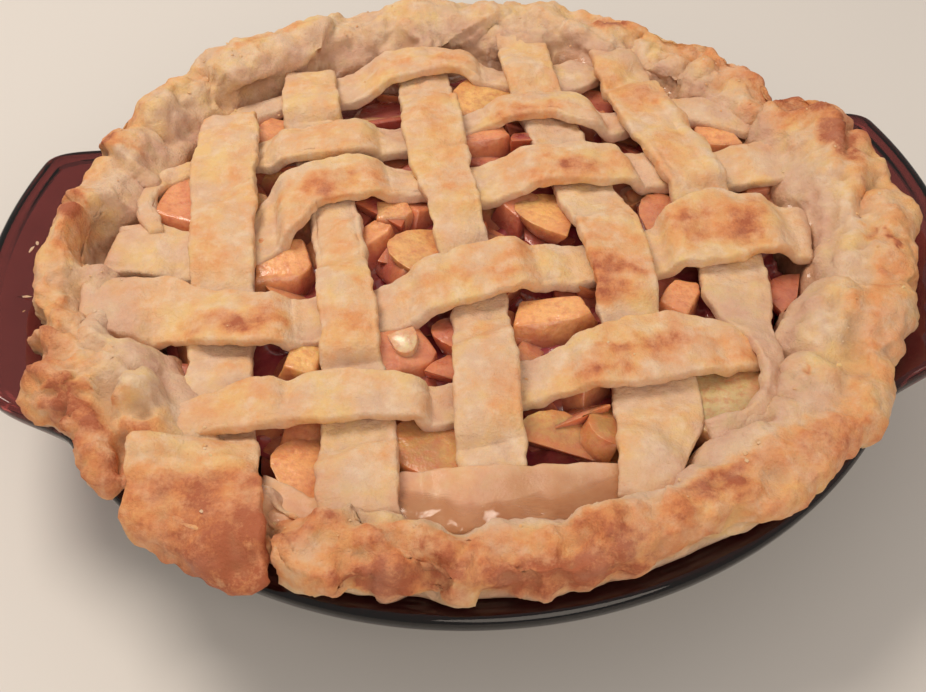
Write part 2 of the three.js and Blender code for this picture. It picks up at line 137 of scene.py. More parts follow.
# Pinched lobes round the rim: angle and half width in degrees, then how far each stands out
# and up
RIM_LOBES = [
    (-172, 7, 2.5, 1.5), (-158, 8, 5.5, 3), (-141, 9, 5.5, 2), (-126, 8, 4.5, 0.5), (-112, 8, 6, 1),
    (-102, 6, 2.5, 2), (-88, 8, 2, 1.5), (-71, 8, 0.5, 2.5), (-56, 8, 5.5, 1.5), (-41, 8, 5, 1),
    (-24, 8, 4, 2), (-14, 6, 7.5, 1), (-5, 7, 9, 1.5), (6, 6, 9, 2.5), (18, 6, 7, 3), (31, 5, 1, 2),
    (40, 5, 1.5, 2), (50, 5, 0.5, 0.5), (61, 6, 2, 1), (72, 6, 1.5, 1), (84, 5, 0, 0.5),
    (97, 6, 1, 1.5), (109, 5, 1, 1), (119, 6, 2, 2.5), (133, 7, 4, 3.5), (148, 7, 2.5, 3),
    (160, 5, 0, 2), (177, 8, 1.5, 3),
]

# Lattice strips: x, y and width along each, from back to front and from side to side
LONG_STRIPS = [
    [(-79, 63, 19), (-78, 50, 21), (-78, 35, 22), (-75, 5, 21), (-73, -22, 20), (-71, -53, 20),
     (-73, -73, 28), (-73, -86, 34), (-72, -100, 36), (-69, -113, 35), (-65, -126, 31)],
    [(-53, 87, 18), (-52, 70, 20), (-48, 45, 18), (-41, 6, 16), (-36, -30, 17), (-33, -60, 18),
     (-32, -75, 21), (-30, -106, 22)],
    [(-14, 90, 18), (-13, 76, 19), (-11, 56, 20), (-9, 33, 20), (-5, 13, 17), (-2, -6, 17),
     (2, -32, 17), (3, -69, 19), (4, -98, 19)],
    [(21, 106, 18), (22, 88, 18), (28, 55, 18), (38, 11, 19), (42, -3, 20), (45, -41, 18),
     (49, -70, 25), (45, -88, 19), (40, -104, 12)],
    [(53, 95, 17), (58, 66, 20), (63, 48, 21), (69, 29, 20), (75, 5, 20), (77, -20, 21),
     (77, -33, 20), (78, -43, 14), (80, -52, 8), (81, -61, 6), (79.5, -69, 5.6), (75, -76, 5.6),
     (68, -80.5, 5.6), (60, -83, 5)],
]
CROSS_STRIPS = [
    [(-92, 55, 8), (-73, 69, 9), (-61, 74, 10), (-39, 79, 20), (-27, 86, 18), (-15, 89, 17),
     (-1, 89, 14), (13, 83, 13), (35, 83, 18), (47, 92, 14), (56, 100, 9)],
    [(-96, 5, 3.5), (-100, 13, 5), (-101.5, 22, 5.5), (-99, 30, 6), (-94, 36, 6.5), (-80, 42, 9),
     (-67, 43, 15), (-54, 42, 17), (-38, 44, 18), (-21, 47, 16), (-1, 54, 11), (12, 57, 13),
     (29, 60, 15), (44, 53, 15), (58, 56, 11), (74, 62, 13), (87, 57, 15), (101, 51, 13)],
    [(-110, 1, 20), (-97, -1, 23), (-84, -5, 22), (-63, 1, 21), (-52, 18, 20), (-31, 23, 20),
     (-14, 22, 15), (3, 20, 19), (23, 26, 20), (42, 26, 21), (62, 28, 19), (79, 28, 19),
     (95, 31, 21), (110, 35, 22)],
    [(-113, -29, 20), (-99, -28, 23), (-78, -34, 21), (-61, -37, 21), (-46, -36, 19),
     (-25, -33, 20), (-3, -25, 22), (20, -19, 19), (40, -16, 18), (56, -12, 21), (74, -5, 31),
     (89, -3, 25), (103, -4, 22)],
    [(-95, -78, 6), (-86, -75, 9), (-78, -72, 12), (-63, -69, 16), (-34, -67, 16),
     (-10, -69, 14), (12, -62, 16), (34, -58, 20), (50, -54, 24), (66, -53, 19), (77, -54, 12),
     (83, -56, 7)],
    [(-58, -96, 17), (-51, -98, 14), (-43, -101, 9), (-33, -100, 14), (-20, -99, 18), (5, -100, 20),
     (20, -99, 19), (38, -96, 14)],
]
# For each cross strip, where it passes over the long strips
CROSS_ON_TOP = [
    (0, 0, 1, 0, 0), (0, 1, 0, 1, 0), (0, 1, 0, 1, 0), (1, 0, 1, 0, 1), (1, 1, 0, 1, 1),
    (0, 0, 1, 0, 0),
]

# Apple pieces that show: x, y, heading, tilt, length, width, depth below the lattice, colour and
# shape. Colour 0 is stained dark red, 0.2 pink, 0.4 orange, 0.6 yellow, 0.8 olive, 1 green and
# 1.2 cream. The one cream piece is a pale apple bit that also paints a white highlight.
APPLE_PIECES = [
    (-90, 26, 84, 8, 33, 18, 1.0, 0.27, "block"), (-95, 46, 35, 10, 11, 7, 0.5, 0.5, "wedge"),
    (-94, 6, 20, -6, 22, 16, 4, 0.3, "block"), (-65, 60, 60, 6, 19, 13, 2.5, 0.33, "block"),
    (-27, 74, 10, 0, 24, 14, 6.5, 0.02, "slice"), (7, 73, 12, 8, 28, 21, 1.5, 0.6, "slice"),
    (7, 49, 4, -6, 19, 12, 1.5, 0.26, "block"), (19, 45.5, 10, 12, 9, 6, -0.6, 0.0, "wedge"),
    (-56, -8, 8, 6, 21, 23, 2, 0.38, "block"), (-60, 15, 60, -10, 18, 11, 3.5, 0.27, "wedge"),
    (-25, 14, -35, 10, 18, 10, 1.5, 0.0, "wedge"), (-30, 3, 40, -8, 15, 13, 3.5, 0.34, "block"),
    (-16, -6, 68, 14, 25, 15, 1, 0.52, "wedge"), (-23, 12, 10, 0, 14, 12, 2.5, 0.36, "block"),
    (24, 10, 75, 14, 24, 17, 1.5, 0.5, "wedge"), (17, 14, 50, 8, 16, 12, 3, 0.2, "block"),
    (62, 9, 30, 10, 24, 18, 2, 0.26, "wedge"), (23, -36, 4, -5, 27, 15, 0.8, 0.44, "block"),
    (61, -29, 65, 8, 18, 13, 2, 0.3, "block"), (95, -25, 62, 12, 26, 14, 2.5, 0.17, "wedge"),
    (-19, -48, 24, 10, 21, 20, 2, 0.21, "block"), (-5, -41, 70, 12, 17, 12, 1, 0.12, "wedge"),
    (-5, -53, -20, 8, 15, 10, 3, 0.2, "wedge"), (-47, -48, 80, 6, 17, 13, 2, 0.58, "block"),
    (-13, -81, 84, 8, 25, 21, 1.5, 0.76, "slice"), (22, -77, -16, 18, 25, 11, 2.2, 0.74, "wedge"),
    (34, -76, 82, 24, 17, 8, 0.8, 0.78, "slice"), (27, -70, 20, -12, 16, 7, 3, 0.22, "wedge"),
    (66, -68, 62, 3, 32, 27, 0.0, 1.0, "slice"), (-45, -84, 58, 16, 25, 17, 1.8, 0.4, "wedge"),
    # The small cream slice at (-19, -47) is a pale bit that paints the white highlight on the red
    # piece.
    (-84, -51, 80, 4, 15, 11, 3.5, 0.16, "block"), (-19, -47, 200, 4, 8, 7, -0.8, 1.15, "slice"),
    (96, 26, 18, 8, 20, 12, 3, 0.2, "block"), (85, 47, 0, 6, 24, 12, 1, 0.36, "block"),
    (44, 73, -35, 8, 22, 15, 4.5, 0.2, "wedge"),
]

# The cuts that shape a piece of apple from a cube or a ball: place and outward direction
APPLE_CUTS = {
    "block": [((0.42, 0, 0), (1, 0.2, 0.12)), ((-0.44, 0, 0), (-1, 0.15, 0.1)),
              ((0, 0.42, 0), (0.12, 1, 0.2)), ((0, -0.36, 0.2), (0, -1, 0.25)),
              ((0.3, -0.3, 0), (0.8, -1, 0.1))],
    "wedge": [((0, 0, 0), (0, -1, 0.0)), ((0, 0, 0), (0, 0.35, 1)), ((0, 0.2, 0), (0, -1, -0.2))],
    "slice": [((0, 0, 0.34), (0, 0.1, 1)), ((0, 0, -0.3), (0, 0, -1)),
              ((0, -0.15, 0), (0, -1, 0)), ((0.8, 0, 0), (1, 0.1, 0))],
}

# Folds of the rim: reach across and height, then the points of its line or its one point. A
# step is high on its left side.
FOLDS = {
    "step": [
        (8, 4.6, -119, 44, -114, 38, -107, 31, -100, 26),
        (7, 4.6, -124, 16, -117, 11, -109, 10, -100, 18),
        (6, 3.4, -93, -60, -99, -55, -106, -51, -111, -46, -128, -36),
        (6, 2.0, -98, -84, -103, -78, -104, -70, -109, -60, -118, -56),
        (8, 6.5, -87, 79, -79, 74, -72, 79, -65, 84, -57, 89, -50, 94),
        (6, 4.0, -50, 89, -48, 99, -45, 110), (6, 4.0, -12, 101, -2, 102, 5, 104, 11, 109),
        (6, 4.2, 106, 60, 98, 51, 92, 46), (5, -3.6, 126, 42, 120, 39, 120, 31, 117, 22),
        (6, 4.0, 111, -34, 98, -30, 88, -29), (4, 1.6, -11, -128, -20, -119, -28, -111),
        (4, 1.6, 11, -128, 4, -121, -3, -115), (4, 1.6, 33, -125, 26, -118, 20, -112),
        (4, 1.4, 55, -117, 48, -113, 42, -107), (4, 3.0, -9, 100, 0, 105, 9, 109, 18, 114),
    ],
    "crease": [
        (6, -3.6, -117, 53, -108, 53, -98, 48),
        (6, -3.8, -116, 8, -115, -6, -113, -20, -111, -34, -110, -45),
        (5, -4.2, -112, -33, -104, -24, -99, -12), (4, -2.4, -122, -44, -118, -56, -113, -66),
        (4, -1.8, -112, -52, -110, -65), (3.5, -2.6, -97, -62, -99, -69, -95, -76, -87, -76),
        (4, -3.0, -104, -80, -108, -72, -115, -70),
        (5, -2.6, -109, -48, -102, -56, -100, -64, -97, -76, -90, -85),
        (5, -5.5, -93, -84, -91, -96, -88, -106), (3, -1.2, -112, -40, -103, -44),
        (3, -1.2, -110, -45, -101, -50), (3, -1.0, -104, -38, -96, -44),
        (4, -4.5, -53, -106, -53, -114, -52, -126), (6, -2.8, -90, 84, -86, 76, -84, 66),
        (4, -3.0, -80, 71, -75, 72, -68, 78, -58, 80), (4, -1.6, -24, 108, -18, 101),
        (4, -1.8, 8, 112, 14, 108, 24, 106, 30, 107), (4, -2.0, 35, 105, 43, 110),
        (5, -4.2, 59, 98, 62, 87, 67, 80), (4, -2.0, 72, 89, 63, 85),
        (5, -4.0, 82, 88, 74, 79, 68, 75), (5, -3.4, 91, 78, 84, 69, 78, 65),
        (4, -4.4, 128, 12, 120, 5, 117, -4), (3, -2.0, 122, -5, 118, -13),
        (7, -1.4, 120, 4, 118, -8, 113, -20, 109, -34, 107, -47, 102, -60, 97, -71),
        (3, -1.3, 107, 9, 101, -6, 97, -17), (3, -1.2, 112, 8, 108, -4, 104, -14),
        (3, -1.0, 103, 13, 98, 2), (5, -2.2, 84, -55, 92, -58, 96, -63, 102, -59),
        (5, -1.8, 80, -72, 84, -78, 92, -80), (4, -1.8, -36, -115, -34, -123, -30, -127),
        (3, -1.4, -29, -120, -26, -126), (4, -1.2, -4, -117, -1, -126),
        (4, -1.4, 23, -117, 20, -127), (4, -1.6, 49, -104, 55, -114),
        (6, -2.4, -4, -115, 2, -121, 9, -128), (6, -2.2, 19, -113, 24, -119, 32, -125),
        (6, -2.2, 41, -108, 46, -114, 54, -118), (6, -2.4, -26, -111, -21, -117, -13, -127),
        (3, -1.2, -44, -109, -38, -112, -31, -112), (3, -2.2, 11, 101, 17, 97, 28, 96, 34, 99),
        (4, -2.6, 36, 101, 42, 96, 50, 91), (3, -1.8, -4, 98, -12, 96, -21, 95),
        (3, -1.8, -27, 103, -31, 97), (3, -2.2, 54, 92, 60, 96, 64, 102),
        (3, -1.8, 78, 73, 84, 76, 92, 82), (3, -2.6, 62, -85, 69, -84, 76, -79),
        (2.5, -1.4, 98, 4, 95, -8, 94, -18), (2.5, -1.4, 106, 3, 103, -10, 100, -20),
        (2.5, -1.4, 112, -2, 108, -14, 105, -24), (2.5, -1.2, 104, -38, 99, -47, 97, -56),
        (4, -1.6, 60, -99, 68, -101, 77, -99),
        (4, -1.3, 128, 26, 122, 7, 117, -11, 113, -33, 107, -49, 100, -67, 92, -81),
        (3, -1.2, 102, 8, 99, -15), (3, -1.2, 111, 12, 105, -20), (3, -1.0, 116, 12, 111, -18),
    ],
    "bump": [
        (6, 2.2, -122, 6, -122, -10, -119, -26, -116, -38), (10, -9.0, -109, -3, -107, 4),
        (6, 2.4, -109, -14, -107, -20), (10, -4.4, -110, -27, -100, -35), (5, 3.0, -127, -41),
        (9, 3.6, -118, -62, -111, -74, -101, -86), (4, -2.2, -106, -70), (6, 5.0, -90, -67),
        (8, 2.6, -103, -61, -98, -71), (6, 2.4, -116, -62), (8, 3.4, -88, -74), (5, -2.0, -92, 67),
        (5, -1.8, -94, 56, -97, 53), (8, 1.4, -80, 82, -70, 92, -58, 99),
        (8, 1.6, -97, 70, -101, 60), (4, 1.6, -21, 105, -12, 103), (5, 1.8, 26, 101, 31, 98),
        (4, -1.6, 37, 96), (4, -2.0, 85, 60), (3.5, -2.2, 69, 80), (13, 1.6, 97, -45),
        (8, 1.8, 88, -67), (2, -1.4, 89, -67), (9, 2.4, -43, -116), (8, 1.8, -30, -110, -26, -112),
        (10, 2.2, -14, -117), (10, 2.0, 9, -118), (10, 2.0, 31, -115), (9, 1.8, 51, -110),
        (6, -2.4, -54, -106, -48, -107), (5, -4.6, -49, -101, -37, -103),
        (4, 2.0, -31, -106, -20, -107), (5, 1.6, -37, -110, -27, -110),
        (6, -3.8, -29, -131, -15, -132), (8, -3.6, 104, 62, 111, 56),
        (6, 2.6, -107, -44, -98, -50, -93, -54), (5, 3.4, 16, 103, 27, 102),
        (6, 2.0, 41, 103, 50, 98), (4, 2.6, -15, 103, -9, 100), (3, 2.0, -19, 98),
        (6, 2.6, 60, -87, 70, -81), (6, -1.4, -14, -110, 10, -112),
    ],
}

# Places where the rim is broken and craggy: x, y, reach along, across, turn and strength
CRAGGY = [
    (-112, -58, 16, 12, 60, 0.7), (-100, -76, 14, 12, 45, 0.5), (-121, -30, 8, 14, 0, 0.5),
    (-40, -122, 26, 8, 10, 0.25), (5, -126, 40, 6, 0, 0.25), (60, -104, 26, 8, 35, 0.2),
    (112, 40, 16, 14, 40, 0.5), (30, 108, 30, 6, 0, 0.4), (-20, 108, 20, 7, 0, 0.4),
    (122, -8, 7, 22, 0, 0.4), (68, 86, 20, 9, -45, 0.6), (-11, 101, 12, 5, 0, 0.7),
    (24, 101, 12, 6, 0, 0.5),
]

# Browned and stained places, one of them painted shade: x, y, reach along, reach across, turn and
# strength
BROWNED = [
    (-108, -70, 7, 6, 20, 0.5), (-118, -52, 6, 12, 10, 0.2), (-99, -76, 7, 7, 0, 0.12),
    (118, 28, 5, 8, 10, 0.7), (123, -14, 1.5, 2, 0, 0.8), (125, -18, 1.5, 1.2, 0, 0.8),
    (118, -11, 1.5, 2, 0, 0.6), (89, -67, 1.3, 1.3, 0, 0.8), (97, 54, 12, 6, 40, 0.3),
    (104, 47, 9, 5, 30, 0.4), (53, 106, 7, 4, 0, 0.5), (88, 76, 7, 5, -40, 0.4),
    (-75, 92, 12, 3, 45, 0.35), (-58, 104, 7, 3, 20, 0.4), (-112, 62, 4, 8, 20, 0.4),
    (-110, 40, 8, 3, -30, 0.35), (35, -119, 5, 3, 20, 0.5), (20, -129, 6, 3, 0, 0.3),
    (-24, -127, 9, 3, 0, 0.3), (2, -131, 9, 3, 0, -0.5), (15, -123, 14, 5, 0, 0.2),
    (-34, -127, 9, 4, 0, 0.25), (30, -126, 12, 4, 20, 0.25), (-38, -117, 9, 5, 0, -0.1),
    (-12, -116, 14, 4, 0, -0.22), (12, -117, 12, 4, 0, -0.12), (-14, -126, 9, 4, 0, 0.3),
    (12, -126, 10, 4, 0, 0.25), (-101, -47, 13, 7, -30, -0.35), (-93, -66, 9, 9, 0, -0.55),
    # The place at (-111, -15) darkens the left inner flap as painted shade.
    (109, 46, 9, 6, -50, 0.3), (-111, 42, 8, 6, 0, 0.15), (-111, -15, 5, 8, 0, 0.2),
    (112, 52, 14, 6, -60, 0.12), (98, 66, 10, 6, -50, 0.25), (60, -101, 12, 5, 35, 0.3),
    (-120, -2, 4, 14, 0, 0.2), (-118, 8, 4, 5, 0, 0.35),
]
# Places on the rim where juice has soaked the dough. The first two, in the hollow at the left, also
# paint the shade there.
SOAKED_AND_SHADED = [
    (-108, 0, 8, 13, 0, 0.9), (-108, -18, 6, 7, 0, 0.7), (-101, -34, 9, 6, 0, 0.5),
    (-94, -44, 9, 6, -30, 0.7), (-90, -58, 8, 6, 0, 0.5), (-49, 94, 9, 6, 20, 0.8),
    (-75, 72, 14, 4, 40, 0.6), (-95, 56, 6, 6, 0, 0.6), (-101, 40, 6, 9, 20, 0.5),
    (104, 2, 8, 14, 10, 0.6), (100, -18, 6, 9, 0, 0.7), (90, -38, 6, 9, 0, 0.5),
    (84, -76, 14, 5, 30, 0.7), (84, -57, 10, 4, -20, 0.6), (62, -88, 12, 5, 35, 0.4),
    (30, 98, 14, 5, 0, 0.45), (-5, 99, 14, 5, 0, 0.4), (74, 72, 12, 6, -50, 0.5),
    (-55, -100, 6, 10, 0, 0.6),
]
BROWNED_STRIPS = [
    (41, -26, 10, 17, 5, 0.72), (76, -4, 19, 10, 10, 0.62), (70, 4, 8, 5, 20, 0.25),
    (-66, -39, 20, 6, 3, 0.62), (6, -24, 20, 5, 15, 0.38), (-42, 17, 18, 7, 15, 0.65),
    (33, 22, 18, 6, 5, 0.6), (46, -57, 24, 7, 12, 0.62), (-20, 83, 22, 4, 15, 0.32),
    (-38, -9, 7, 17, 10, 0.42), (-34, -38, 6, 12, 0, 0.25), (-11, 50, 8, 16, 5, 0.3),
    (-4, 7, 7, 14, 0, 0.34), (2, -58, 8, 16, 0, -0.14), (55, 66, 10, 16, 15, 0.36),
    (24, 53, 18, 4, 0, 0.42), (86, 47, 12, 4, -10, 0.55), (-62, -115, 13, 9, 0, 0.36),
    (-69, -98, 14, 8, 0, 0.2), (-71, -114, 5, 5, 0, 0.25), (-78, -101, 8, 8, 0, 0.1),
    (66, 33, 8, 8, 0, 0.15), (-52, 44, 10, 4, 0, 0.15),
]
# How brown the rim is at each angle
RIM_BROWNING = [
    (-180, .44), (-165, .44), (-150, .5), (-138, .55), (-125, .56), (-110, .6), (-90, .72),
    (-70, .66), (-50, .5), (-30, .46), (-10, .46), (10, .46), (20, .62), (32, .66), (45, .46),
    (60, .32), (80, .14), (100, .1), (120, .15), (140, .26), (160, .38), (180, .44),
]

# Larger flakes: x, y, heading, length, width and browning
FLAKES = [
    (-136, 6, 70, 4, 1.0, 0.0), (-133, 0, 30, 3, 0.9, 0.0), (-135, 9, 110, 2, 0.9, 0.0),
    (-134, -15, 0, 5, 0.6, 0.0), (-130, -15, 12, 3, 0.5, 0.0), (-133, -21, 40, 1.5, 0.8, 0.1),
]


# Numbers

def hump(t):
    inside = np.maximum(0.0, 1.0 - np.asarray(t, float) ** 2)
    return inside * inside * (3.0 - 2.0 * inside)


def turn(start, end):
    return (np.asarray(end, float) - start + 540.0) % 360.0 - 180.0


def humps(rows, angle):
    """The sum of humps round the rim, at each angle."""
    return sum(height * hump(turn(middle, angle) / half) for middle, half, height in rows)


def smooth(low, high, value):
    t = np.clip((np.asarray(value, float) - low) / (high - low), 0.0, 1.0)
    return t * t * (3.0 - 2.0 * t)


def mix(a, b, t):
    return a + (b - a) * t


def polar(x, y, *_):
    """How far points lie from the middle, and in which direction, in degrees."""
    return np.hypot(x, y), np.degrees(np.arctan2(y, x))


SLOPES = np.array([(x, y, z) for x in (-1, 0, 1) for y in (-1, 0, 1) for z in (-1, 0, 1)
                   if abs(x) + abs(y) + abs(z) == 2], float)


def cloud(where, size, octaves=3, seed=0):
    """Soft random hills, from about -1 to 1, over points in millimetres."""
    where = np.asarray(where, float)
    total = np.zeros(len(where))
    for octave in range(octaves):
        grid = where / size + (17.3 * seed + 3.1, 5.7 * seed + 9.7 * octave, 9.1 * seed + 8.3)
        cell = np.floor(grid).astype(np.int64)
        part = grid - cell
        ease = part ** 3 * (part * (6 * part - 15) + 10)
        for corner in np.ndindex(2, 2, 2):
            x, y, z = (cell + corner).T
            number = (x * 374761393 + y * 668265263 + z * 1103515245) & 0xFFFFFFFF
            number = ((number ^ (number >> 13)) * 1274126177) & 0xFFFFFFFF
            slope = SLOPES[(number ^ (number >> 16)) % len(SLOPES)]
            share = np.prod(np.where(corner, ease, 1 - ease), axis=1)
            total += 0.5 ** octave * share * np.einsum("ij,ij->i", slope, part - corner)
        size /= 2.1
    return 1.3 * total


def beside(where, line):
    """How far points lie from a line on the plan, and which side: 1 on the left."""
    nearest = np.full(len(where), 1e9)
    side = np.ones(len(where))
    for (ax, ay), (bx, by) in zip(line, line[1:]):
        dx, dy = bx - ax, by - ay
        px, py = where[:, 0] - ax, where[:, 1] - ay
        t = np.clip((px * dx + py * dy) / (dx * dx + dy * dy), 0, 1)
        away = np.hypot(px - t * dx, py - t * dy)
        closer = away < nearest
        nearest = np.where(closer, away, nearest)
        side = np.where(closer, np.sign(dx * py - dy * px), side)
    return nearest, side


def patches(where, rows, ragged=0.0):
    """The strength of a list of soft oval places, over points, with edges torn by ragged mm."""
    if ragged:
        tear = np.stack([cloud(where, 8, 3, 51), cloud(where, 8, 3, 52), 0 * where[:, 0]], 1)
        where = where + 2 * ragged * tear
    total = np.zeros(len(where))
    for x, y, along, across, angle, strength in rows:
        c, s = math.cos(math.radians(angle)), math.sin(math.radians(angle))
        dx, dy = where[:, 0] - x, where[:, 1] - y
        far = np.hypot((dx * c + dy * s) / along, (dy * c - dx * s) / across)
        total += strength * (1 - smooth(0.35, 1.5, far))
    return total


# Tools

def pick(*pieces):
    """Selects these pieces alone, with the first one active."""
    bpy.ops.object.select_all(action="DESELECT")
    for piece in pieces:
        piece.select_set(True)
    bpy.context.view_layer.objects.active = pieces[0]


def named(name):
    """The piece that the last operator made, under its name."""
    piece = bpy.context.object
    piece.name = piece.data.name = name
    return piece


@contextmanager
def whole_mesh():
    """Edit mode on the active piece, with all of it selected."""
    bpy.ops.object.mode_set(mode="EDIT")
    bpy.ops.mesh.select_mode(type="VERT")
    bpy.ops.mesh.select_all(action="SELECT")
    yield
    bpy.ops.object.mode_set(mode="OBJECT")


def finish_modifier(piece, kind, **settings):
    pick(piece)
    bpy.ops.object.modifier_add(type=kind)
    modifier = piece.modifiers[-1]
    for key, value in settings.items():
        setattr(modifier, key, value)
    bpy.ops.object.modifier_apply(modifier=modifier.name)


def vertex_numbers(rows, field):
    flat = np.empty(len(rows) * 3)
    rows.foreach_get(field, flat)
    return flat.reshape(-1, 3)


def places(piece):
    return vertex_numbers(piece.data.vertices, "co") / MM


def normals(piece):
    return vertex_numbers(piece.data.vertex_normals, "vector")


def put_places(piece, where):
    piece.data.vertices.foreach_set("co", (np.asarray(where) * MM).ravel())
    piece.data.update()


def push(piece, amounts):
    """Moves a piece's faces outwards, by millimetres at each vertex."""
    put_places(piece, places(piece) + normals(piece) * np.asarray(amounts)[:, None])


def hollows(piece, rounds):
    """How deep each vertex lies below the softened form, in millimetres: ridges are negative."""
    edges = np.empty(len(piece.data.edges) * 2, np.int32)
    piece.data.edges.foreach_get("vertices", edges)
    a, b = edges.reshape(-1, 2).T
    count = len(piece.data.vertices)
    near = np.bincount(a, minlength=count) + np.bincount(b, minlength=count)
    start = places(piece)
    soft = start.copy()
    for _ in range(rounds):
        for axis in range(3):
            total = np.bincount(a, soft[b, axis], count) + np.bincount(b, soft[a, axis], count)
            soft[:, axis] = 0.5 * soft[:, axis] + 0.5 * total / np.maximum(near, 1)
    return np.einsum("ij,ij->i", soft - start, normals(piece))


def mark(piece, **marks):
    """Keeps a vector, or a number held to 0 to 1, for each vertex, for the materials to read."""
    for name, values in marks.items():
        values = np.asarray(values, np.float32)
        kind, field = "FLOAT_VECTOR", "vector"
        if values.ndim < 2:
            kind, field = "FLOAT", "value"
            values = np.clip(values, 0, 1) + np.zeros(len(piece.data.vertices), np.float32)
        piece.data.attributes.new(name, kind, "POINT").data.foreach_set(field, values.ravel())


def smooth_shading(piece, angle):
    pick(piece)
    bpy.ops.object.shade_smooth_by_angle(angle=math.radians(angle))
    return piece


def set_in_dish(piece, angle=180):
    """Turns finished food from the photograph's frame into the dish's, and shades it."""
    piece.data.transform(Matrix.Rotation(FOOD_TURN, 4, "Z"))
    piece.data.update()
    return smooth_shading(piece, angle)


def tree_of(piece):
    """A finished piece's faces, in millimetres in the food's frame, for rays to hit."""
    back_turn = Matrix.Rotation(-FOOD_TURN, 3, "Z")
    return BVHTree.FromPolygons([back_turn @ v.co / MM for v in piece.data.vertices],
                                [list(p.vertices) for p in piece.data.polygons])


def tops(trees, x, y):
    """How high finished pieces reach over each place, or 0 where there are none."""
    def top(x, y):
        hits = [tree.ray_cast(Vector((x, y, ABOVE_ALL)), Vector((0, 0, -1)))[0] for tree in trees]
        return max([hit.z for hit in hits if hit is not None], default=0.0)
    return np.vectorize(top, otypes=[float])(x, y)


def lay(master, x, y, height, turns, sizes):
    """A copy of a master piece, sized, turned about one axis after another and moved."""
    piece = master.copy()
    piece.data = master.data.copy()
    bpy.context.collection.objects.link(piece)
    shape = Matrix.Translation((x * MM, y * MM, height * MM))
    for angle, axis in turns:
        shape = shape @ Matrix.Rotation(math.radians(angle), 4, axis)
    piece.data.transform(shape @ Matrix.Diagonal((*(size * MM for size in sizes), 1)))
    return piece


def join(name, pieces):
    pick(*pieces)
    bpy.ops.object.join()
    return named(name)


def hand_over(piece, material, slot, *nodes):
    """Gives a finished piece its finish, and sets it in the place of its CAD nodes."""
    piece.data.materials.clear()
    piece.data.materials.append(material)
    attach(piece, "root")
    if nodes:
        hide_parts(*nodes)


def turned_ring(name, profile, steps):
    """A closed form from a profile of (radius, height), drawn point by point and turned."""
    bpy.ops.mesh.primitive_plane_add(size=MM, location=(0, 0, 0))
    piece = named(name)
    with whole_mesh():
        bpy.ops.mesh.merge(type="CENTER")
        bpy.ops.transform.translate(value=(profile[0][0] * MM, 0, profile[0][1] * MM))
        for (ra, za), (rb, zb) in zip(profile, profile[1:]):
            step = ((rb - ra) * MM, 0, (zb - za) * MM)
            bpy.ops.mesh.extrude_region_move(TRANSFORM_OT_translate={"value": step})
    finish_modifier(piece, "SCREW", axis="Z", angle=2 * math.pi, steps=steps, render_steps=steps,
                    use_merge_vertices=True)
    with whole_mesh():
        bpy.ops.mesh.remove_doubles(threshold=MERGE_DISTANCE)
        bpy.ops.mesh.normals_make_consistent(inside=False)
    return piece


def rounded(points, size, count):
    """A line of points with each corner rounded off by up to a size."""
    points = [np.array(p, float) for p in points]
    line = [points[0]]
    for before, corner, after in zip(points, points[1:], points[2:]):
        one, two = before - corner, after - corner
        cut = min(size, 0.45 * np.linalg.norm(one), 0.45 * np.linalg.norm(two))
        start = corner + one / np.linalg.norm(one) * cut
        end = corner + two / np.linalg.norm(two) * cut
        for t in np.linspace(0, 1, count + 1):
            line.append((1 - t) ** 2 * start + 2 * t * (1 - t) * corner + t * t * end)
    line.append(points[-1])
    return [tuple(p) for p in line]


# The dish

def make_dish():
    under = RIM_TOP - FLANGE_THICKNESS
    corners = [
        (0, 0), (BASE_RADIUS, 0), (BASE_RADIUS + 4.5, 3), (FLANGE_START + 1, under - 3.5),
        (FLANGE_START + 4, under), (BEAD_START - 1, under), (BEAD_START, under),
        (RIM_RADIUS - 1.2, under - 0.6), (RIM_RADIUS, BEAD_TOP - 1.8), (RIM_RADIUS - 2, BEAD_TOP),
        (BEAD_START, RIM_TOP), (BEAD_START - 1, RIM_TOP), (FLANGE_START, RIM_TOP),
        (FLANGE_START - 4, RIM_TOP - 4.5), (BASE_RADIUS + 1, FLOOR_THICKNESS + 3.5),
        (BASE_RADIUS - 4, FLOOR_THICKNESS), (0, FLOOR_THICKNESS),
    ]
    line = []
    for (ra, za), (rb, zb) in zip(corners, corners[1:]):
        parts = int(math.hypot(rb - ra, zb - za) // DISH_FACE) + 1
        line += [(mix(ra, rb, i / parts), mix(za, zb, i / parts)) for i in range(parts)]
    line = rounded(line + corners[-1:], DISH_CORNER, 3)
    piece = turned_ring("dish_glass", line, DISH_STEPS)
    where = places(piece)
    radius, angle = polar(*where.T)
    from_handle = np.minimum(abs(turn(0, angle)), abs(turn(180, angle)))
    handle = (1 - smooth(HANDLE_FULL_ANGLE, HANDLE_END_ANGLE, from_handle)
              ) * np.clip(radius - (BEAD_START - 1), 0, 1)
    out = (HANDLE_REACH - RIM_RADIUS) * handle
    where[:, :2] *= np.where(radius > 1, (radius + out) / np.maximum(radius, 1), 1)[:, None]
    where[:, 2] += HANDLE_RISE * handle
    put_places(piece, where)
    # Near black over the body, lighter at the bead's edge and on the handles. This is partly the
    # smoked glass's absorption through its wall and partly painted shade of what lies behind it.
    mark(piece, thickness=1 - smooth(RIM_RADIUS - 4, RIM_RADIUS + 3, radius + out))
    return smooth_shading(piece, 40)


# The crust

def rim_lobes(angle):
    out = np.zeros_like(angle)
    up = np.zeros_like(angle)
    for middle, half_width, lobe_out, lobe_up in RIM_LOBES:
        share = hump(turn(middle, angle) / (1.35 * half_width))
        out = np.maximum(out, lobe_out * share)
        up = np.maximum(up, lobe_up * share)
    return out, up


def opening_radius(angle):
    return OPENING_RADIUS + FRONT_WIDENING * humps(FRONT, angle) - humps(OPENING_NARROWED, angle)


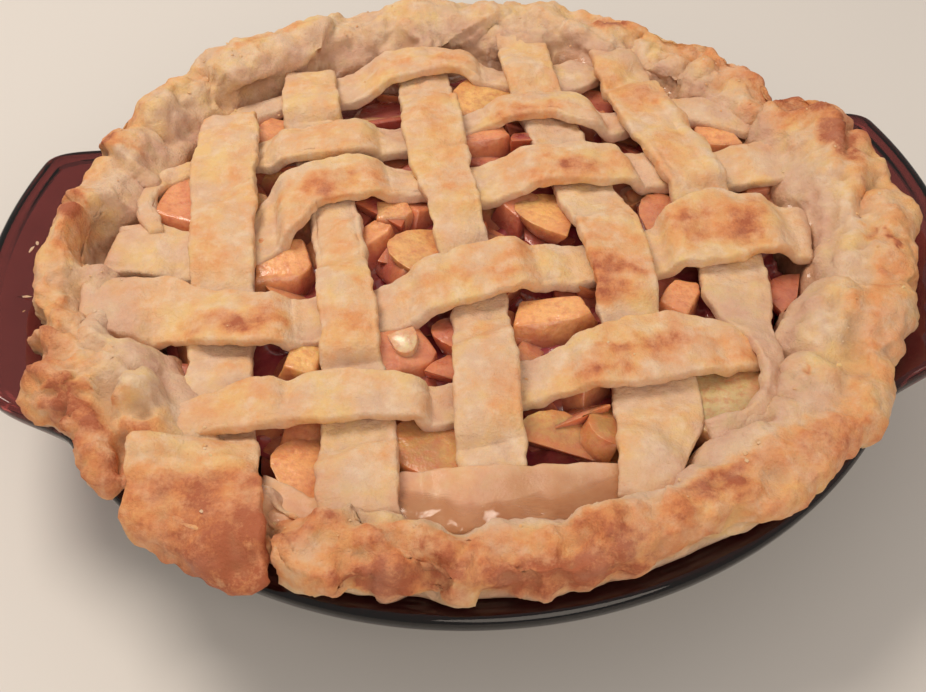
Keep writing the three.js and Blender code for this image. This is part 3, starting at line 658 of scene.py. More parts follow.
def crust_profile(angle):
    """The section's corner points at each angle: radii and heights, one row a corner."""
    outer_out, outer_up = rim_lobes(angle - LOBE_SLANT)
    _, crest_up = rim_lobes(angle)
    _, inner_up = rim_lobes(angle + LOBE_SLANT)
    low = humps(LOW_STRETCH, angle)
    front = humps(FRONT, angle)
    reach = CRUST_RADIUS + outer_out - low - humps(RIM_NOTCHES, angle)
    opening = opening_radius(angle)
    crest_radius = mix(opening, reach, 0.56 - 0.2 * front)
    crest = CREST_HEIGHT + crest_up - humps(FLAP_BED, angle) - low - FRONT_DROP * front
    on_glass = RIM_TOP + GAP + 0.1
    floor = FLOOR_THICKNESS + GAP
    rows = [
        (0, floor), (BASE_RADIUS - 4.4, floor), (BASE_RADIUS + 0.4, FLOOR_THICKNESS + 3.7),
        (FLANGE_START - 4.5, RIM_TOP - 4.2), (FLANGE_START - 0.4, on_glass),
        (BEAD_START - 2.5, on_glass), (np.minimum(128, reach - 2), BEAD_TOP + 1),
        (reach - 0.7, WIDEST_HEIGHT - 3.3), (reach, WIDEST_HEIGHT),
        (reach - 1.6, WIDEST_HEIGHT + 3.6 + 0.5 * outer_up),
        (mix(crest_radius, reach, 0.55), crest - 1.2), (crest_radius, crest),
        (mix(opening, crest_radius, 0.55), crest - 1.4 + 0.5 * inner_up - 0.5 * crest_up),
        (mix(opening, crest_radius, 0.2), 57 + 0.4 * inner_up), (opening - 1, 53),
        (opening - 4, 46), (BASE_RADIUS - 1, FLOOR_THICKNESS + 9),
        (BASE_RADIUS - 7, floor + CRUST_THICKNESS), (0, floor + CRUST_THICKNESS),
    ]
    return [np.array([row[part] + 0 * angle for row in rows]) for part in (0, 1)]


# How many faces each stretch of the crust's section gets
CRUST_FACES = [4, 2, 5, 3, 4, 3, 4, 4, 6, 7, 7, 7, 8, 6, 6, 6, 3, 3]
# Where each fine row of the crust lies: the corner before it and the share past it
CRUST_ROWS = [(i, j / faces) for i, faces in enumerate(CRUST_FACES) for j in range(faces)]
CRUST_ROWS.append((len(CRUST_FACES) - 1, 1))
# The corners that a curve runs through, and those of the crust's upper face
CURVED_CORNERS = range(4, 15)
UPPER_CORNERS = slice(8, 15)


def curve_between(rows, i, t):
    """A smooth curve through rows of corner points, at a share past corner i."""
    before, here = rows[max(i - 1, 0)], rows[i]
    there, after = rows[i + 1], rows[min(i + 2, len(rows) - 1)]
    if i not in CURVED_CORNERS:
        return mix(here, there, t)
    return 0.5 * (2 * here + (there - before) * t
                  + (2 * before - 5 * here + 4 * there - after) * t * t
                  + (3 * here - before - 3 * there + after) * t ** 3)


def shape_folds(where, folds):
    """How far pinches, creases and overlaps raise each point."""
    total = np.zeros(len(where))
    for kind, rows in folds.items():
        for reach, height, *line in rows:
            line = list(zip(line[::2], line[1::2]))
            if len(line) == 1:
                line.append((line[0][0] + 0.5, line[0][1]))
            away, side = beside(where, line)
            if kind == "bump":
                total += height * hump(away / (1.3 * reach))
            elif kind == "crease":
                total += height * np.maximum(0, 1 - away / reach) ** 1.6
            else:
                total += 0.5 * height * side * np.exp(-away / reach) * (away < 4 * reach)
    return total


def loose_folds():
    """Small chance creases and lumps all round the rim, in the form of FOLDS."""
    chance = random.Random(FOLD_SEED)
    rows = {"bump": [], "crease": [], "step": []}
    for _ in range(LOOSE_FOLDS):
        way = chance.uniform(-180, 180)
        radius = chance.uniform(float(opening_radius(way)) + 1, CRUST_RADIUS + 4)
        x, y = radius * math.cos(math.radians(way)), radius * math.sin(math.radians(way))
        if chance.random() < 0.35:
            rows["bump"].append((chance.uniform(3, 7), chance.uniform(-1.1, 1.5), x, y))
            continue
        heading = math.radians(way + chance.choice((-1, 1)) * chance.uniform(0, 75))
        half = chance.uniform(2, 7)
        bend = chance.uniform(-1.5, 1.5)
        c, s = math.cos(heading), math.sin(heading)
        line = (x - half * c, y - half * s, x - bend * s, y + bend * c, x + half * c, y + half * s)
        if chance.random() < 0.6:
            rows["crease"].append((chance.uniform(2.4, 4.5), -chance.uniform(0.5, 1.5), *line))
        else:
            rows["step"].append((chance.uniform(3, 6), chance.uniform(0.8, 2.0), *line))
    return rows


def make_crust():
    first = crust_profile(np.zeros(1))
    start = np.array([[curve_between(column, i, t)[0] for column in first]
                      for i, t in CRUST_ROWS])
    piece = turned_ring("crust_dough", start.tolist(), CRUST_STEPS)
    where = places(piece)
    radius, angle = polar(*where.T)
    row = np.empty(len(where), int)
    for low in range(0, len(where), 20000):
        part = slice(low, low + 20000)
        apart = (radius[part, None] - start[:, 0]) ** 2 + (where[part, 2, None] - start[:, 1]) ** 2
        row[part] = apart.argmin(axis=1)
    c, s = np.cos(np.radians(angle)), np.sin(np.radians(angle))
    wobble = angle + 1.6 * cloud(np.stack([9 * c, 9 * s, 0.35 * row], 1), 3.0, 2, 5)
    radii, heights = crust_profile(wobble)
    radius = np.empty(len(where))
    for index, (i, t) in enumerate(CRUST_ROWS):
        here = row == index
        radius[here] = curve_between(radii[:, here], i, t)
        where[here, 2] = curve_between(heights[:, here], i, t)
    where[:, 0] = radius * c
    where[:, 1] = radius * s
    put_places(piece, where)

    # Only what stands above the dish is pinched and folded
    shown = smooth(46, 51, where[:, 2]) * smooth(90, 97, radius)
    push(piece, shown * shape_folds(places(piece), FOLDS))
    push(piece, shown * 0.8 * shape_folds(places(piece), loose_folds()))
    finish_modifier(piece, "SMOOTH", factor=0.5, iterations=2)
    where = places(piece)
    rough = 0.3 + patches(where, CRAGGY)
    push(piece, shown * (2.1 * cloud(where, 17, 2, 1) + 0.9 * cloud(where, 7, 2, 2)))
    where = places(piece)
    crags = 0.5 - np.minimum(1, abs(cloud(where, 9, 2, 3)) * 3)
    push(piece, shown * (crags * rough * 1.3 + 0.22 * cloud(where, 2.8, 2, 4)))
    where = places(piece)
    radius, angle = polar(*where.T)
    outside = smooth(0.88, 1.02, radius / CRUST_RADIUS)
    layers = np.stack([0.16 * angle, where[:, 2] / 1.7, 0 * angle], 1)
    flaky = 0.7 * cloud(layers, 1, 2, 9) + 0.4 * cloud(where, 4, 2, 8)
    push(piece, shown * outside * rough * flaky)
    finish_modifier(piece, "SMOOTH", factor=0.4, iterations=1)

    where = places(piece)
    height = where[:, 2]
    radius, angle = polar(*where.T)
    opening = opening_radius(angle)
    share = (radius - opening) / (CRUST_RADIUS + 3 - opening)
    front = humps([(-92, 55, 1)], angle)
    band = smooth(mix(0.35, 0.02, front), mix(0.75, 0.3, front), share)
    deep = hollows(piece, 10)
    browning = np.interp(angle, *zip(*RIM_BROWNING)) * band * smooth(48, 55, height) + 0.06
    browning += patches(where, BROWNED, 1.5) + 0.22 * np.clip(-deep, -0.6, 1.0)
    browning += 0.2 * cloud(where, 14, 3, 6)
    browning -= 0.22 * front * smooth(0.4, 0.15, share) + 0.08 * front * smooth(0.7, 0.95, share)
    soaked = (1 - smooth(0.05, 0.34, share)) * (1 - 0.55 * front)
    soaked = np.maximum(soaked, 1 - smooth(46, 53, height))
    soaked = np.clip(soaked + patches(where, SOAKED_AND_SHADED, 1.5), 0, 1)
    # The crease mark is how deep each point lies in a hollow. The material draws it as painted
    # shade.
    mark(piece, browning=browning, soaked=soaked + 0.3 * cloud(where, 9, 2, 7), crease=deep,
         wet=0.7 * smooth(0.75, 1, soaked) * (height < 54))
    return set_in_dish(piece)


# The lattice

STRIPS = (LONG_STRIPS, CROSS_STRIPS)
STRIP_NAMES = ("long", "cross")


def dome_height(x, y):
    return DOME_TOP - DOME_DROP * np.minimum((x * x + y * y) / DOME_RADIUS ** 2, DOME_EDGE)


def middle_line(rows, step):
    """The middle line of a strip at even steps: x, y and width, and the share along it."""
    rows = np.array(rows, float)
    points = np.vstack([2 * rows[0] - rows[1], rows, 2 * rows[-1] - rows[-2]])
    fine = []
    for p0, p1, p2, p3 in zip(points, points[1:], points[2:], points[3:]):
        g0, g1, g2 = [max(np.linalg.norm((b - a)[:2]) ** 0.5, 1e-6)
                      for a, b in ((p0, p1), (p1, p2), (p2, p3))]
        m1 = ((p1 - p0) / g0 - (p2 - p0) / (g0 + g1) + (p2 - p1) / g1) * g1
        m2 = ((p2 - p1) / g1 - (p3 - p1) / (g1 + g2) + (p3 - p2) / g2) * g1
        for t in np.linspace(0, 1, 40, endpoint=False):
            fine.append(p1 + m1 * t + (3 * (p2 - p1) - 2 * m1 - m2) * t * t
                        + (m1 + m2 - 2 * (p2 - p1)) * t ** 3)
    fine = np.array(fine + [rows[-1]])
    along = np.concatenate([[0], np.cumsum(np.hypot(*np.diff(fine[:, :2], axis=0).T))])
    even = np.linspace(0, along[-1], int(math.ceil(along[-1] / step)) + 1)
    return np.stack([np.interp(even, along, column) for column in fine.T], 1), even / along[-1]


# The middle lines of the long strips and of the cross strips, for the weave
LINES = [[middle_line(rows, WEAVE_STEP)[0] for rows in strips] for strips in STRIPS]


def band_share(line, x, y):
    """How much each point belongs to a strip's band: 1 inside its width, 0 well past it."""
    nearest = np.full(x.shape, 1e9)
    for (ax, ay, aw), (bx, by, bw) in zip(line, line[1:]):
        dx, dy = bx - ax, by - ay
        t = np.clip(((x - ax) * dx + (y - ay) * dy) / (dx * dx + dy * dy), 0, 1)
        away = np.hypot(x - ax - t * dx, y - ay - t * dy) - mix(aw, bw, t) / 2
        nearest = np.minimum(nearest, away)
    return 1 - smooth(WEAVE_HOLD, WEAVE_REACH, nearest)


def weave_rise(is_cross, index, x, y):
    """How far the strips that cross a strip lift or sink it at each point."""
    sides = 2 * np.array(CROSS_ON_TOP) - 1
    sides = sides[index] if is_cross else -sides[:, index]
    lifted, weight, total = 0, 1e-6, 0
    for side, line in zip(sides, LINES[not is_cross]):
        share = band_share(line, x, y)
        lifted = lifted + side * share ** 2
        weight = weight + share ** 2
        total = total + share
    return WEAVE_RISE * lifted / weight * np.minimum(1, total)


def crust_top(x, y):
    """The height of the crust's upper face, as its section gives it."""
    radius, angle = polar(x, y)
    radii, heights = [column[UPPER_CORNERS][::-1] for column in crust_profile(angle)]
    top = np.zeros(x.shape)
    for ra, rb, za, zb in zip(radii, radii[1:], heights, heights[1:]):
        t = np.clip((radius - ra) / (rb - ra), 0, 1)
        top = np.where(radius >= ra, mix(za, zb, t), top)
    past = np.maximum(0, radius - radii[-1])
    return np.where(radius < radii[0], heights[0], top - 1.5 * past)


def soften(grid, rounds, both_ways):
    """Evens out a grid of heights along its strip, or also across it."""
    for _ in range(rounds):
        for rows in (grid, grid.T)[:1 + both_ways]:
            rows[1:-1] = 0.5 * rows[1:-1] + 0.25 * (rows[:-2] + rows[2:])


def ridge_share(y):
    """Where along its course the fifth long strip has its ridge."""
    return smooth(64, 54, y) * smooth(10, 20, y)


def strip_sheet(is_cross, index, crust_tree):
    """The middle sheet of a strip: a grid of points, along it and across it."""
    name = f"{STRIP_NAMES[is_cross]}_{index + 1}"
    line, share = middle_line(STRIPS[is_cross][index], STRIP_STEP)
    share = share[:, None]
    seed = 20 + index + 10 * is_cross
    middle_x, middle_y, width = line.T[:, :, None]
    along = np.gradient(line[:, :2], axis=0)
    along /= np.linalg.norm(along, axis=1)[:, None]
    across_x, across_y = -along[:, 1:], along[:, :1]
    edge = line * (1, 1, 0)
    left, right = [width / 2 + 0.7 * cloud(edge, 9, 3, number)[:, None]
                   for number in (seed, seed + 0.5)]
    shares = np.linspace(-1, 1, SHEET_POINTS)
    wide = np.where(shares > 0, left, right) * shares
    bed_x, bed_y = middle_x + wide * across_x, middle_y + wide * across_y
    rise = weave_rise(is_cross, index, bed_x, bed_y)
    crown = 0.6 * (1 - shares ** 2) * (0.5 + 0.5 * rise / WEAVE_RISE)
    sag = -0.8 * (1 - abs(rise) / WEAVE_RISE)
    seam = np.exp(-((abs(shares) - 0.7) / 0.09) ** 2)
    crown = crown - 0.9 * seam * np.maximum(0, cloud(edge, 20, 2, seed + 7))[:, None]
    curl = 0 * share
    if name == "long_5":
        curl = smooth(CURL_START, CURL_FULL, share)
        ridge = np.exp(-((shares - 0.64) / 0.14) ** 2)
        crown = crown + 1.8 * ridge * ridge_share(middle_y)
    height = dome_height(bed_x, bed_y) + (1 - curl) * (rise + crown + sag) + CURL_LIFT * curl
    # The ribbon and the fourth strip start raised, the fifth ends low and the sixth lies low
    if name == "cross_2":
        height += 1.8 * (1 - smooth(0.08, 0.16, share))
    elif name == "cross_4":
        height += 4.6 * (1 - smooth(0.0, 0.13, share))
        height -= 2.2 * hump(np.hypot(bed_x + 86, bed_y + 41) / 11)
        height += 1.3 * hump(np.hypot(bed_x + 99, bed_y + 30) / 9)
    elif name == "cross_5":
        height -= 3.6 * smooth(0.93, 1, share)
    elif name == "cross_6":
        height = dome_height(bed_x, bed_y) - 1.3 + 0.35 * (rise + crown)
    roll = math.radians(CURL_ROLL) * curl
    x = middle_x + wide * np.cos(roll) * across_x
    y = middle_y + wide * np.cos(roll) * across_y
    # The flap lies on the rim, and the fourth strip's start is pressed on it
    if name == "long_1":
        past = np.where(y < FLAP_START, np.maximum(0, np.hypot(x, y) - FLAP_REACH), 0)
        pull = 1 - past / np.hypot(x, y)
        x, y = x * pull, y * pull
        on_rim = np.maximum(crust_top(x, y), tops([crust_tree], x, y))
        over = np.maximum(height, on_rim + 2.4) - np.minimum(FLAP_DROP, 0.7 * past)
        height = np.where(y < FLAP_START, over, height)
        soften(height, 14, True)
    elif name == "long_4":
        from_end = share * len(share) * STRIP_STEP
        on_rim = tops([crust_tree], x, y) + 0.2 + 0.03 * from_end
        draped = np.maximum(height, np.minimum(dome_height(x, y) + DRAPE_RISE, on_rim))
        height = np.where(from_end < DRAPE_LENGTH, draped, height)
        soften(height, 4, False)
    sheet = np.stack([x, y, height - wide * np.sin(roll)], 2)
    sheet[:, :, 2] += 0.9 * cloud(sheet.reshape(-1, 3), 22, 2, seed + 3).reshape(x.shape)
    return sheet


def strip_section():
    """A strip's section round its edge: share across, then how far out and up from the sheet."""
    half = STRIP_THICKNESS / 2
    rows = []
    for side, count in ((1, 19), (-1, 11)):
        rows += [(side * share, 0, side * half) for share in np.linspace(-1, 1, count)]
        for angle in np.radians(np.linspace(80, -70, 7))[::side]:
            rows.append((side, side * STRIP_CORNER * math.cos(angle),
                         (half - STRIP_CORNER) * np.sign(angle) + STRIP_CORNER * math.sin(angle)))
    return np.array(rows).T


def make_strip(is_cross, index, crust_tree):
    sheet = strip_sheet(is_cross, index, crust_tree)
    shares, outs, rises = strip_section()
    rings, count = len(sheet), len(shares)
    bpy.ops.mesh.primitive_grid_add(x_subdivisions=rings - 1, y_subdivisions=count, size=1,
                                    location=(0, 0, 0))
    piece = named(f"{STRIP_NAMES[is_cross]}_strip_{index + 1}")
    flat = places(piece) * MM
    i = np.rint((flat[:, 0] + 0.5) * (rings - 1)).astype(int)
    j = np.rint((flat[:, 1] + 0.5) * count).astype(int) % count
    along, side = np.gradient(sheet, axis=(0, 1))
    up = np.cross(along, side)
    for way in (up, side):
        way /= np.linalg.norm(way, axis=2)[:, :, None]
    inset = 1 - 1.5 / np.maximum(8, np.linalg.norm(sheet[:, -1] - sheet[:, 0], axis=1) / 2)
    column = (shares[j] * inset[i] + 1) / 2 * (sheet.shape[1] - 1)
    low = np.minimum(column.astype(int), sheet.shape[1] - 2)
    part = (column - low)[:, None]

    def on(grid):
        return grid[i, low] * (1 - part) + grid[i, low + 1] * part

    thin = np.interp(np.minimum(i, rings - 1 - i), [0, 1, 2, 3], [0.45, 0.8, 0.95, 1])
    put_places(piece, on(sheet) + on(side) * outs[j, None] + on(up) * (rises[j] * thin)[:, None])
    with whole_mesh():
        bpy.ops.mesh.remove_doubles(threshold=MERGE_DISTANCE)
        bpy.ops.mesh.select_all(action="DESELECT")
        bpy.ops.mesh.select_mode(type="EDGE")
        bpy.ops.mesh.select_non_manifold(extend=False)
        bpy.ops.mesh.fill_holes(sides=0)
        bpy.ops.mesh.select_all(action="SELECT")
        bpy.ops.mesh.normals_make_consistent(inside=False)

    is_flap = piece.name == "long_strip_1"
    is_glazed = piece.name == "cross_strip_6"
    where = places(piece)
    seed = 40 + index + 10 * is_cross
    swell = 0.6 * cloud(where, 9, 2, seed) + 0.22 * cloud(where, 3, 2, seed + 1)
    if is_flap:
        swell += 1.8 * smooth(-80, -90, where[:, 1]) * cloud(where, 11, 3, seed + 5)
    push(piece, 0.35 * swell if is_glazed else swell)
    where = places(piece)
    x, y, z = where.T
    level = z - dome_height(x, y)
    browned = patches(where, BROWNED_STRIPS, 2.2) * (0.85 + 0.45 * cloud(where, 6, 2, seed + 6))
    browning = 0.14 + 0.8 * browned * smooth(0.2, 3.0, level)
    browning += 0.05 * np.clip(level, -2, 3) + 0.22 * cloud(where, 13, 3, seed + 2)
    soaked = 1 - smooth(-3.0, 1.0, level)
    wet = 0
    if is_flap:
        browning += 0.4 * smooth(-88, -97, y + 2.5 * cloud(where, 8, 2, 77))
        browning += 0.62 * smooth(-103, -122, y - 0.25 * (x + 70))
        soaked *= 1 - smooth(-80, -88, y)
    else:
        soaked = np.maximum(soaked, 0.6 * smooth(94, 106, np.hypot(x, y)))
    if is_glazed:
        low_side = smooth(-85, -97, y + 4 * cloud(where, 14, 2, 3))
        wet = low_side * (0.12 + 0.88 * smooth(-5, 9, x))
        soaked = np.maximum(soaked, 0.35 + 0.5 * low_side)
        browning = 0.7 * browning + 0.08 + 0.36 * low_side
    if piece.name == "long_strip_5":
        browning *= 1 - 0.7 * smooth(-30, -44, y)
        line_x, line_y, _ = LINES[is_cross][index].T
        # The ridge is drawn paler: a pale strand, with a painted highlight along its raised edge.
        ridge = np.exp(-((x - np.interp(-y, -line_y, line_x) - 6.8) / 1.6) ** 2)
        browning -= 0.4 * ridge * ridge_share(y)
        soaked = np.maximum(soaked, 0.85 * smooth(-18, -34, y))
    # The crease mark is how deep each point lies in a hollow. The material draws it as painted
    # shade.
    mark(piece, browning=browning, soaked=soaked + 0.25 * cloud(where, 8, 2, seed + 4),
         crease=hollows(piece, 6), wet=wet)
    return set_in_dish(piece)


# The filling

def make_syrup_bed():
    """The cooked-down filling between the slices: a lumpy, glossy bed."""
    opening = OPENING_RADIUS - 9
    bottom = FLOOR_THICKNESS + 2 * GAP + CRUST_THICKNESS
    line = [(0, bottom), (30, bottom), (BASE_RADIUS - 9, bottom), (BASE_RADIUS - 2, 15),
            (opening - 2, 42)]
    for radius in (*np.arange(opening - 1, 0, -1.6), 0):
        line.append((radius, dome_height(radius, 0) - BED_DEPTH))
    piece = turned_ring("syrup_bed", line, BED_STEPS)
    where = places(piece)
    lumps = 2.4 * cloud(where, 12, 2, 11) + 0.9 * cloud(where, 4, 2, 12)
    push(piece, smooth(42, 46, where[:, 2]) * lumps)
    return set_in_dish(piece)


def apple_master(kind, levels):
    """One cut piece of apple in a box one unit each way, its upper face at the top."""
    if kind == "block":
        bpy.ops.mesh.primitive_cube_add(size=1, location=(0, 0, 0))
    else:
        bpy.ops.mesh.primitive_uv_sphere_add(segments=24, ring_count=12, radius=1,
                                             location=(0, 0, 0), rotation=(0, math.pi / 2, 0))
    piece = bpy.context.object
    bpy.ops.object.transform_apply(location=True, rotation=True, scale=True)
    with whole_mesh():
        for place, outward in APPLE_CUTS[kind]:
            bpy.ops.mesh.select_all(action="SELECT")
            bpy.ops.mesh.bisect(plane_co=place, plane_no=outward, use_fill=True, clear_outer=True)
    finish_modifier(piece, "BEVEL", width=0.06, segments=3, limit_method="ANGLE",
                    angle_limit=math.radians(28))
    if levels:
        finish_modifier(piece, "SUBSURF", subdivision_type="SIMPLE", levels=levels,
                        render_levels=levels)
    where = places(piece) * MM
    low, high = where.min(axis=0), where.max(axis=0)
    put_places(piece, ((where - (low + high) / 2) / (high - low) - (0, 0, 0.5)) / MM)
    return piece


def make_apple_slices():
    """The heap of cut apple: the pieces that show, over others that fill the gaps below."""
    random.seed(SLICE_SEED)
    masters = {(kind, shows): apple_master(kind, (kind == "block") + shows)
               for kind in APPLE_CUTS for shows in (True, False)}
    rows = [(*row, PIECE_THICKNESS) for row in APPLE_PIECES]
    for _ in range(HIDDEN_PIECES):
        spread = HEAP_RADIUS * math.sqrt(random.random())
        way = random.uniform(0, 2 * math.pi)
        rows.append((spread * math.cos(way), spread * math.sin(way), random.uniform(0, 360),
                     random.uniform(-25, 25), random.uniform(15, 26), random.uniform(11, 17),
                     random.uniform(5.2, 9), random.choice((0.1, 0.2, 0.3, 0.36, 0.42, 0.55)),
                     random.choice(list(APPLE_CUTS)), random.uniform(8, 12)))
    slices = []
    for index, row in enumerate(rows):
        x, y, heading, tilt, length, width, depth, tone, kind, thickness = row
        master = masters[kind, index < len(APPLE_PIECES)]
        slices.append(lay(master, x, y, dome_height(x, y) - depth,
                          [(heading, "Z"), (0.6 * tilt, "Y"), (tilt, "X")],
                          (length, 1.1 * width, thickness)))
        mark(slices[-1], in_piece=places(master) * MM, tone=tone / PALEST_TONE,
             piece_number=random.random())
    for master in masters.values():
        bpy.data.objects.remove(master)
    piece = join("apple_slices", slices)
    where = places(piece)
    push(piece, 0.45 * cloud(where, 7, 2, 14) + 0.14 * cloud(where, 2.2, 2, 15))
    where = places(piece)
    x, y, z = where.T
    # Pieces turn dark red the deeper they lie below the lattice. This is syrup stain, and painted
    # shade in the gaps.
    mark(piece, stained=smooth(2, 10, dome_height(x, y) - z + 3 * cloud(where, 6, 2, 16)))
    radius, angle = polar(x, y)
    room = (opening_radius(angle) - 3) / np.maximum(radius, 1)
    where[:, :2] *= np.where(z < 54, np.minimum(1, room), 1)[:, None]
    put_places(piece, where)
    return set_in_dish(piece, 50)


def make_syrup_pool(trees):
    """Thin clear syrup that has run out over the front strip, up to the rim."""
    bpy.ops.mesh.primitive_uv_sphere_add(segments=96, ring_count=32, radius=MM, location=(0, 0, 0))
    piece = named("syrup_pool")
    with whole_mesh():
        bpy.ops.transform.resize(value=POOL_SIZE)
        bpy.ops.transform.translate(value=[part * MM for part in POOL_PLACE])
    where = places(piece)
    x, y, z = where.T
    y += x ** 2 / 230 + 1.6 * cloud(where, 11, 2, 61)
    z += 0.5 * cloud(where, 9, 2, 62) + 0.25 * cloud(where, 3.5, 2, 63)
    by_sparkles = hump(np.hypot(*((where[:, :2] - SPARKLES_PLACE) / SPARKLES_REACH).T))
    z += 0.6 * by_sparkles * (0.5 + cloud(where, 2.6, 2, 65))
    put_places(piece, where)
    depth = z - tops(trees, x, y)
    mark(piece, depth=smooth(0.0, 0.9, depth + 0.15 * cloud(where, 5, 2, 64)))
    return set_in_dish(piece)


def make_crumbs(trees):
    """Loose bits of pastry on the rim, the lattice and the left handle."""
    random.seed(CRUMB_SEED)
    bpy.ops.mesh.primitive_ico_sphere_add(subdivisions=1, radius=0.5, location=(0, 0, 0))
    master = bpy.context.object
    rows = list(FLAKES)
    for _ in range(CRUMBS):
        way = random.uniform(0, 2 * math.pi)
        on_rim = random.random() < 0.8
        radius = random.uniform(104, 128) if on_rim else 100 * math.sqrt(random.random())
        size = random.uniform(0.5, 1.5)
        rows.append((radius * math.cos(way), radius * math.sin(way), random.uniform(0, 360), size,
                     size * random.uniform(0.5, 0.9), random.uniform(0.0, 0.6)))
    bits = []
    for x, y, heading, length, width, browning in rows:
        top = float(tops(trees, x, y))
        if top >= LOWEST_CRUMB:
            turns = [(heading, "Z"), (math.degrees(random.uniform(-0.35, 0.35)), "X")]
            sizes = (length, width, min(1.6, 0.45 * width))
            bits.append(lay(master, x, y, top + 0.15, turns, sizes))
            mark(bits[-1], browning=browning)
    bpy.data.objects.remove(master)
    piece = join("pastry_crumbs", bits)
    push(piece, 0.4 * cloud(places(piece), 1.3, 2, 71))
    mark(piece, soaked=0, crease=0, wet=0)
    return set_in_dish(piece, 30)


# Node building

class Wire:
    """What comes out of a node, with the sums that shaders do on it."""

    def __init__(self, socket):
        self.socket = socket
        self.tree = socket.id_data

    def calculate(self, kind, a, b=0.0):
        return add(self.tree, "ShaderNodeMath", {0: a, 1: b}, operation=kind)

    def __add__(self, other):
        return self.calculate("ADD", self, other)

    def __sub__(self, other):
        return self.calculate("SUBTRACT", self, other)

    def __rsub__(self, other):
        return self.calculate("SUBTRACT", other, self)

    def __mul__(self, other):
        return self.calculate("MULTIPLY", self, other)

    def __abs__(self):
        return self.calculate("ABSOLUTE", self)

    def held(self):
        """The same number, held to 0 to 1."""
        self.socket.node.use_clamp = True
        return self


def feed(node, inputs):
    """Gives a node's inputs, by name or number, a value or what comes out of another node."""
    for key, value in inputs.items():
        socket = node.inputs[key]
        if isinstance(value, Wire):
            value.tree.links.new(value.socket, socket)
        else:
            socket.default_value = (*value, 1) if socket.type == "RGBA" else value


def add(tree, kind, inputs, out=0, **settings):
    node = tree.nodes.new(kind)
    for key, value in settings.items():
        setattr(node, key, value)
    feed(node, inputs)
    return Wire(node.outputs[out])


def noise(place, scale, detail=3.0, roughness=0.55):
    return add(place.tree, "ShaderNodeTexNoise",
               {"Vector": place, "Scale": scale, "Detail": detail, "Roughness": roughness})


def move(place, **inputs):
    return add(place.tree, "ShaderNodeMapping", {"Vector": place, **inputs})


def vector_math(kind, inputs, out=0):
    return add(inputs[0].tree, "ShaderNodeVectorMath", dict(enumerate(inputs)), out,
               operation=kind)


def ramp(value, *stops):
    """A colour ramp. Each stop is its place and then one grey level or three colour parts."""
    wire = add(value.tree, "ShaderNodeValToRGB", {"Fac": value})
    elements = wire.socket.node.color_ramp.elements
    elements[0].position, elements[1].position = stops[0][0], stops[-1][0]
    for place, *_ in stops[1:-1]:
        elements.new(place)
    for element, (_, *parts) in zip(elements, stops):
        element.color = (*(parts * 3)[:3], 1)
    return wire


def blend(share, a, b):
    return add(share.tree, "ShaderNodeMix", {0: share, 6: a, 7: b}, 2, data_type="RGBA")


def bump(height, strength, distance):
    return add(height.tree, "ShaderNodeBump",
               {"Height": height, "Strength": strength, "Distance": distance})


def new_group(name, inputs, outputs):
    """An empty node group, what comes into it, and its end."""
    group = bpy.data.node_groups.new(name, "ShaderNodeTree")
    for way, sockets in (("INPUT", inputs), ("OUTPUT", outputs)):
        for label, kind in sockets.items():
            group.interface.new_socket(label, in_out=way, socket_type="NodeSocket" + kind)
    start = group.nodes.new("NodeGroupInput")
    wires = [Wire(start.outputs[label]) for label in inputs]
    return group, wires, group.nodes.new("NodeGroupOutput")


def baked_colour_and_crease_shade_group():
    """The colour of baked dough, from cream to deep brown, with freckles and soaked places, and
    painted shade in its creases.
    """
    group, (place, browning, soaked, crease, wet), end = new_group(
        "baked_colour_and_crease_shade",
        {"Vector": "Vector", "Browning": "Float", "Soaked": "Float", "Crease Shade": "Float",
         "Wet": "Float"},
        {"Color": "Color", "Toast": "Float"})
    broad = noise(place, 95, 4) - 0.5
    middle = noise(place, 330, 4, 0.6) - 0.5
    fine = noise(place, 1150, 3, 0.6) - 0.5
    toast = browning + broad * 0.75 + middle * 0.5
    toast = (toast + fine * (browning * 0.3 + 0.08)).held()
    baked = ramp(toast, (0.0, 0.78, 0.555, 0.375), (0.2, 0.81, 0.52, 0.295),
                 (0.4, 0.82, 0.44, 0.205), (0.58, 0.80, 0.355, 0.14),
                 (0.78, 0.69, 0.25, 0.095), (1.0, 0.46, 0.13, 0.055))
    bare = 1.0 - toast
    for scale, away, low, high, strength, tint in (
            (75, 0.31, 0.46, 0.62, 0.75, (0.87, 0.60, 0.24)),
            (90, 0.57, 0.47, 0.63, 0.75, (0.74, 0.50, 0.36)),
            (230, 0.83, 0.48, 0.66, 0.6, (0.90, 0.70, 0.52))):
        moved = move(place, Location=(away, away, 0))
        blotch = ramp(noise(moved, scale, 4, 0.6), (low, 0.0), (high, strength))
        baked = blend(blotch * bare, baked, tint)
    stain = ramp(noise(place, 150), (0.3, 0.60, 0.33, 0.24), (0.5, 0.70, 0.43, 0.31),
                 (0.72, 0.66, 0.46, 0.27))
    color = blend((soaked * (broad * 1.4 + 0.75)).held(), baked, stain)
    # Painted shade: the crease mark darkens hollows and creases towards brown.
    color = blend((crease * 0.55).held(), color, (0.50, 0.25, 0.12))
    color = blend((wet * 0.75).held(), color, (0.56, 0.27, 0.13))
    feed(end, {"Color": color, "Toast": toast})
    return group


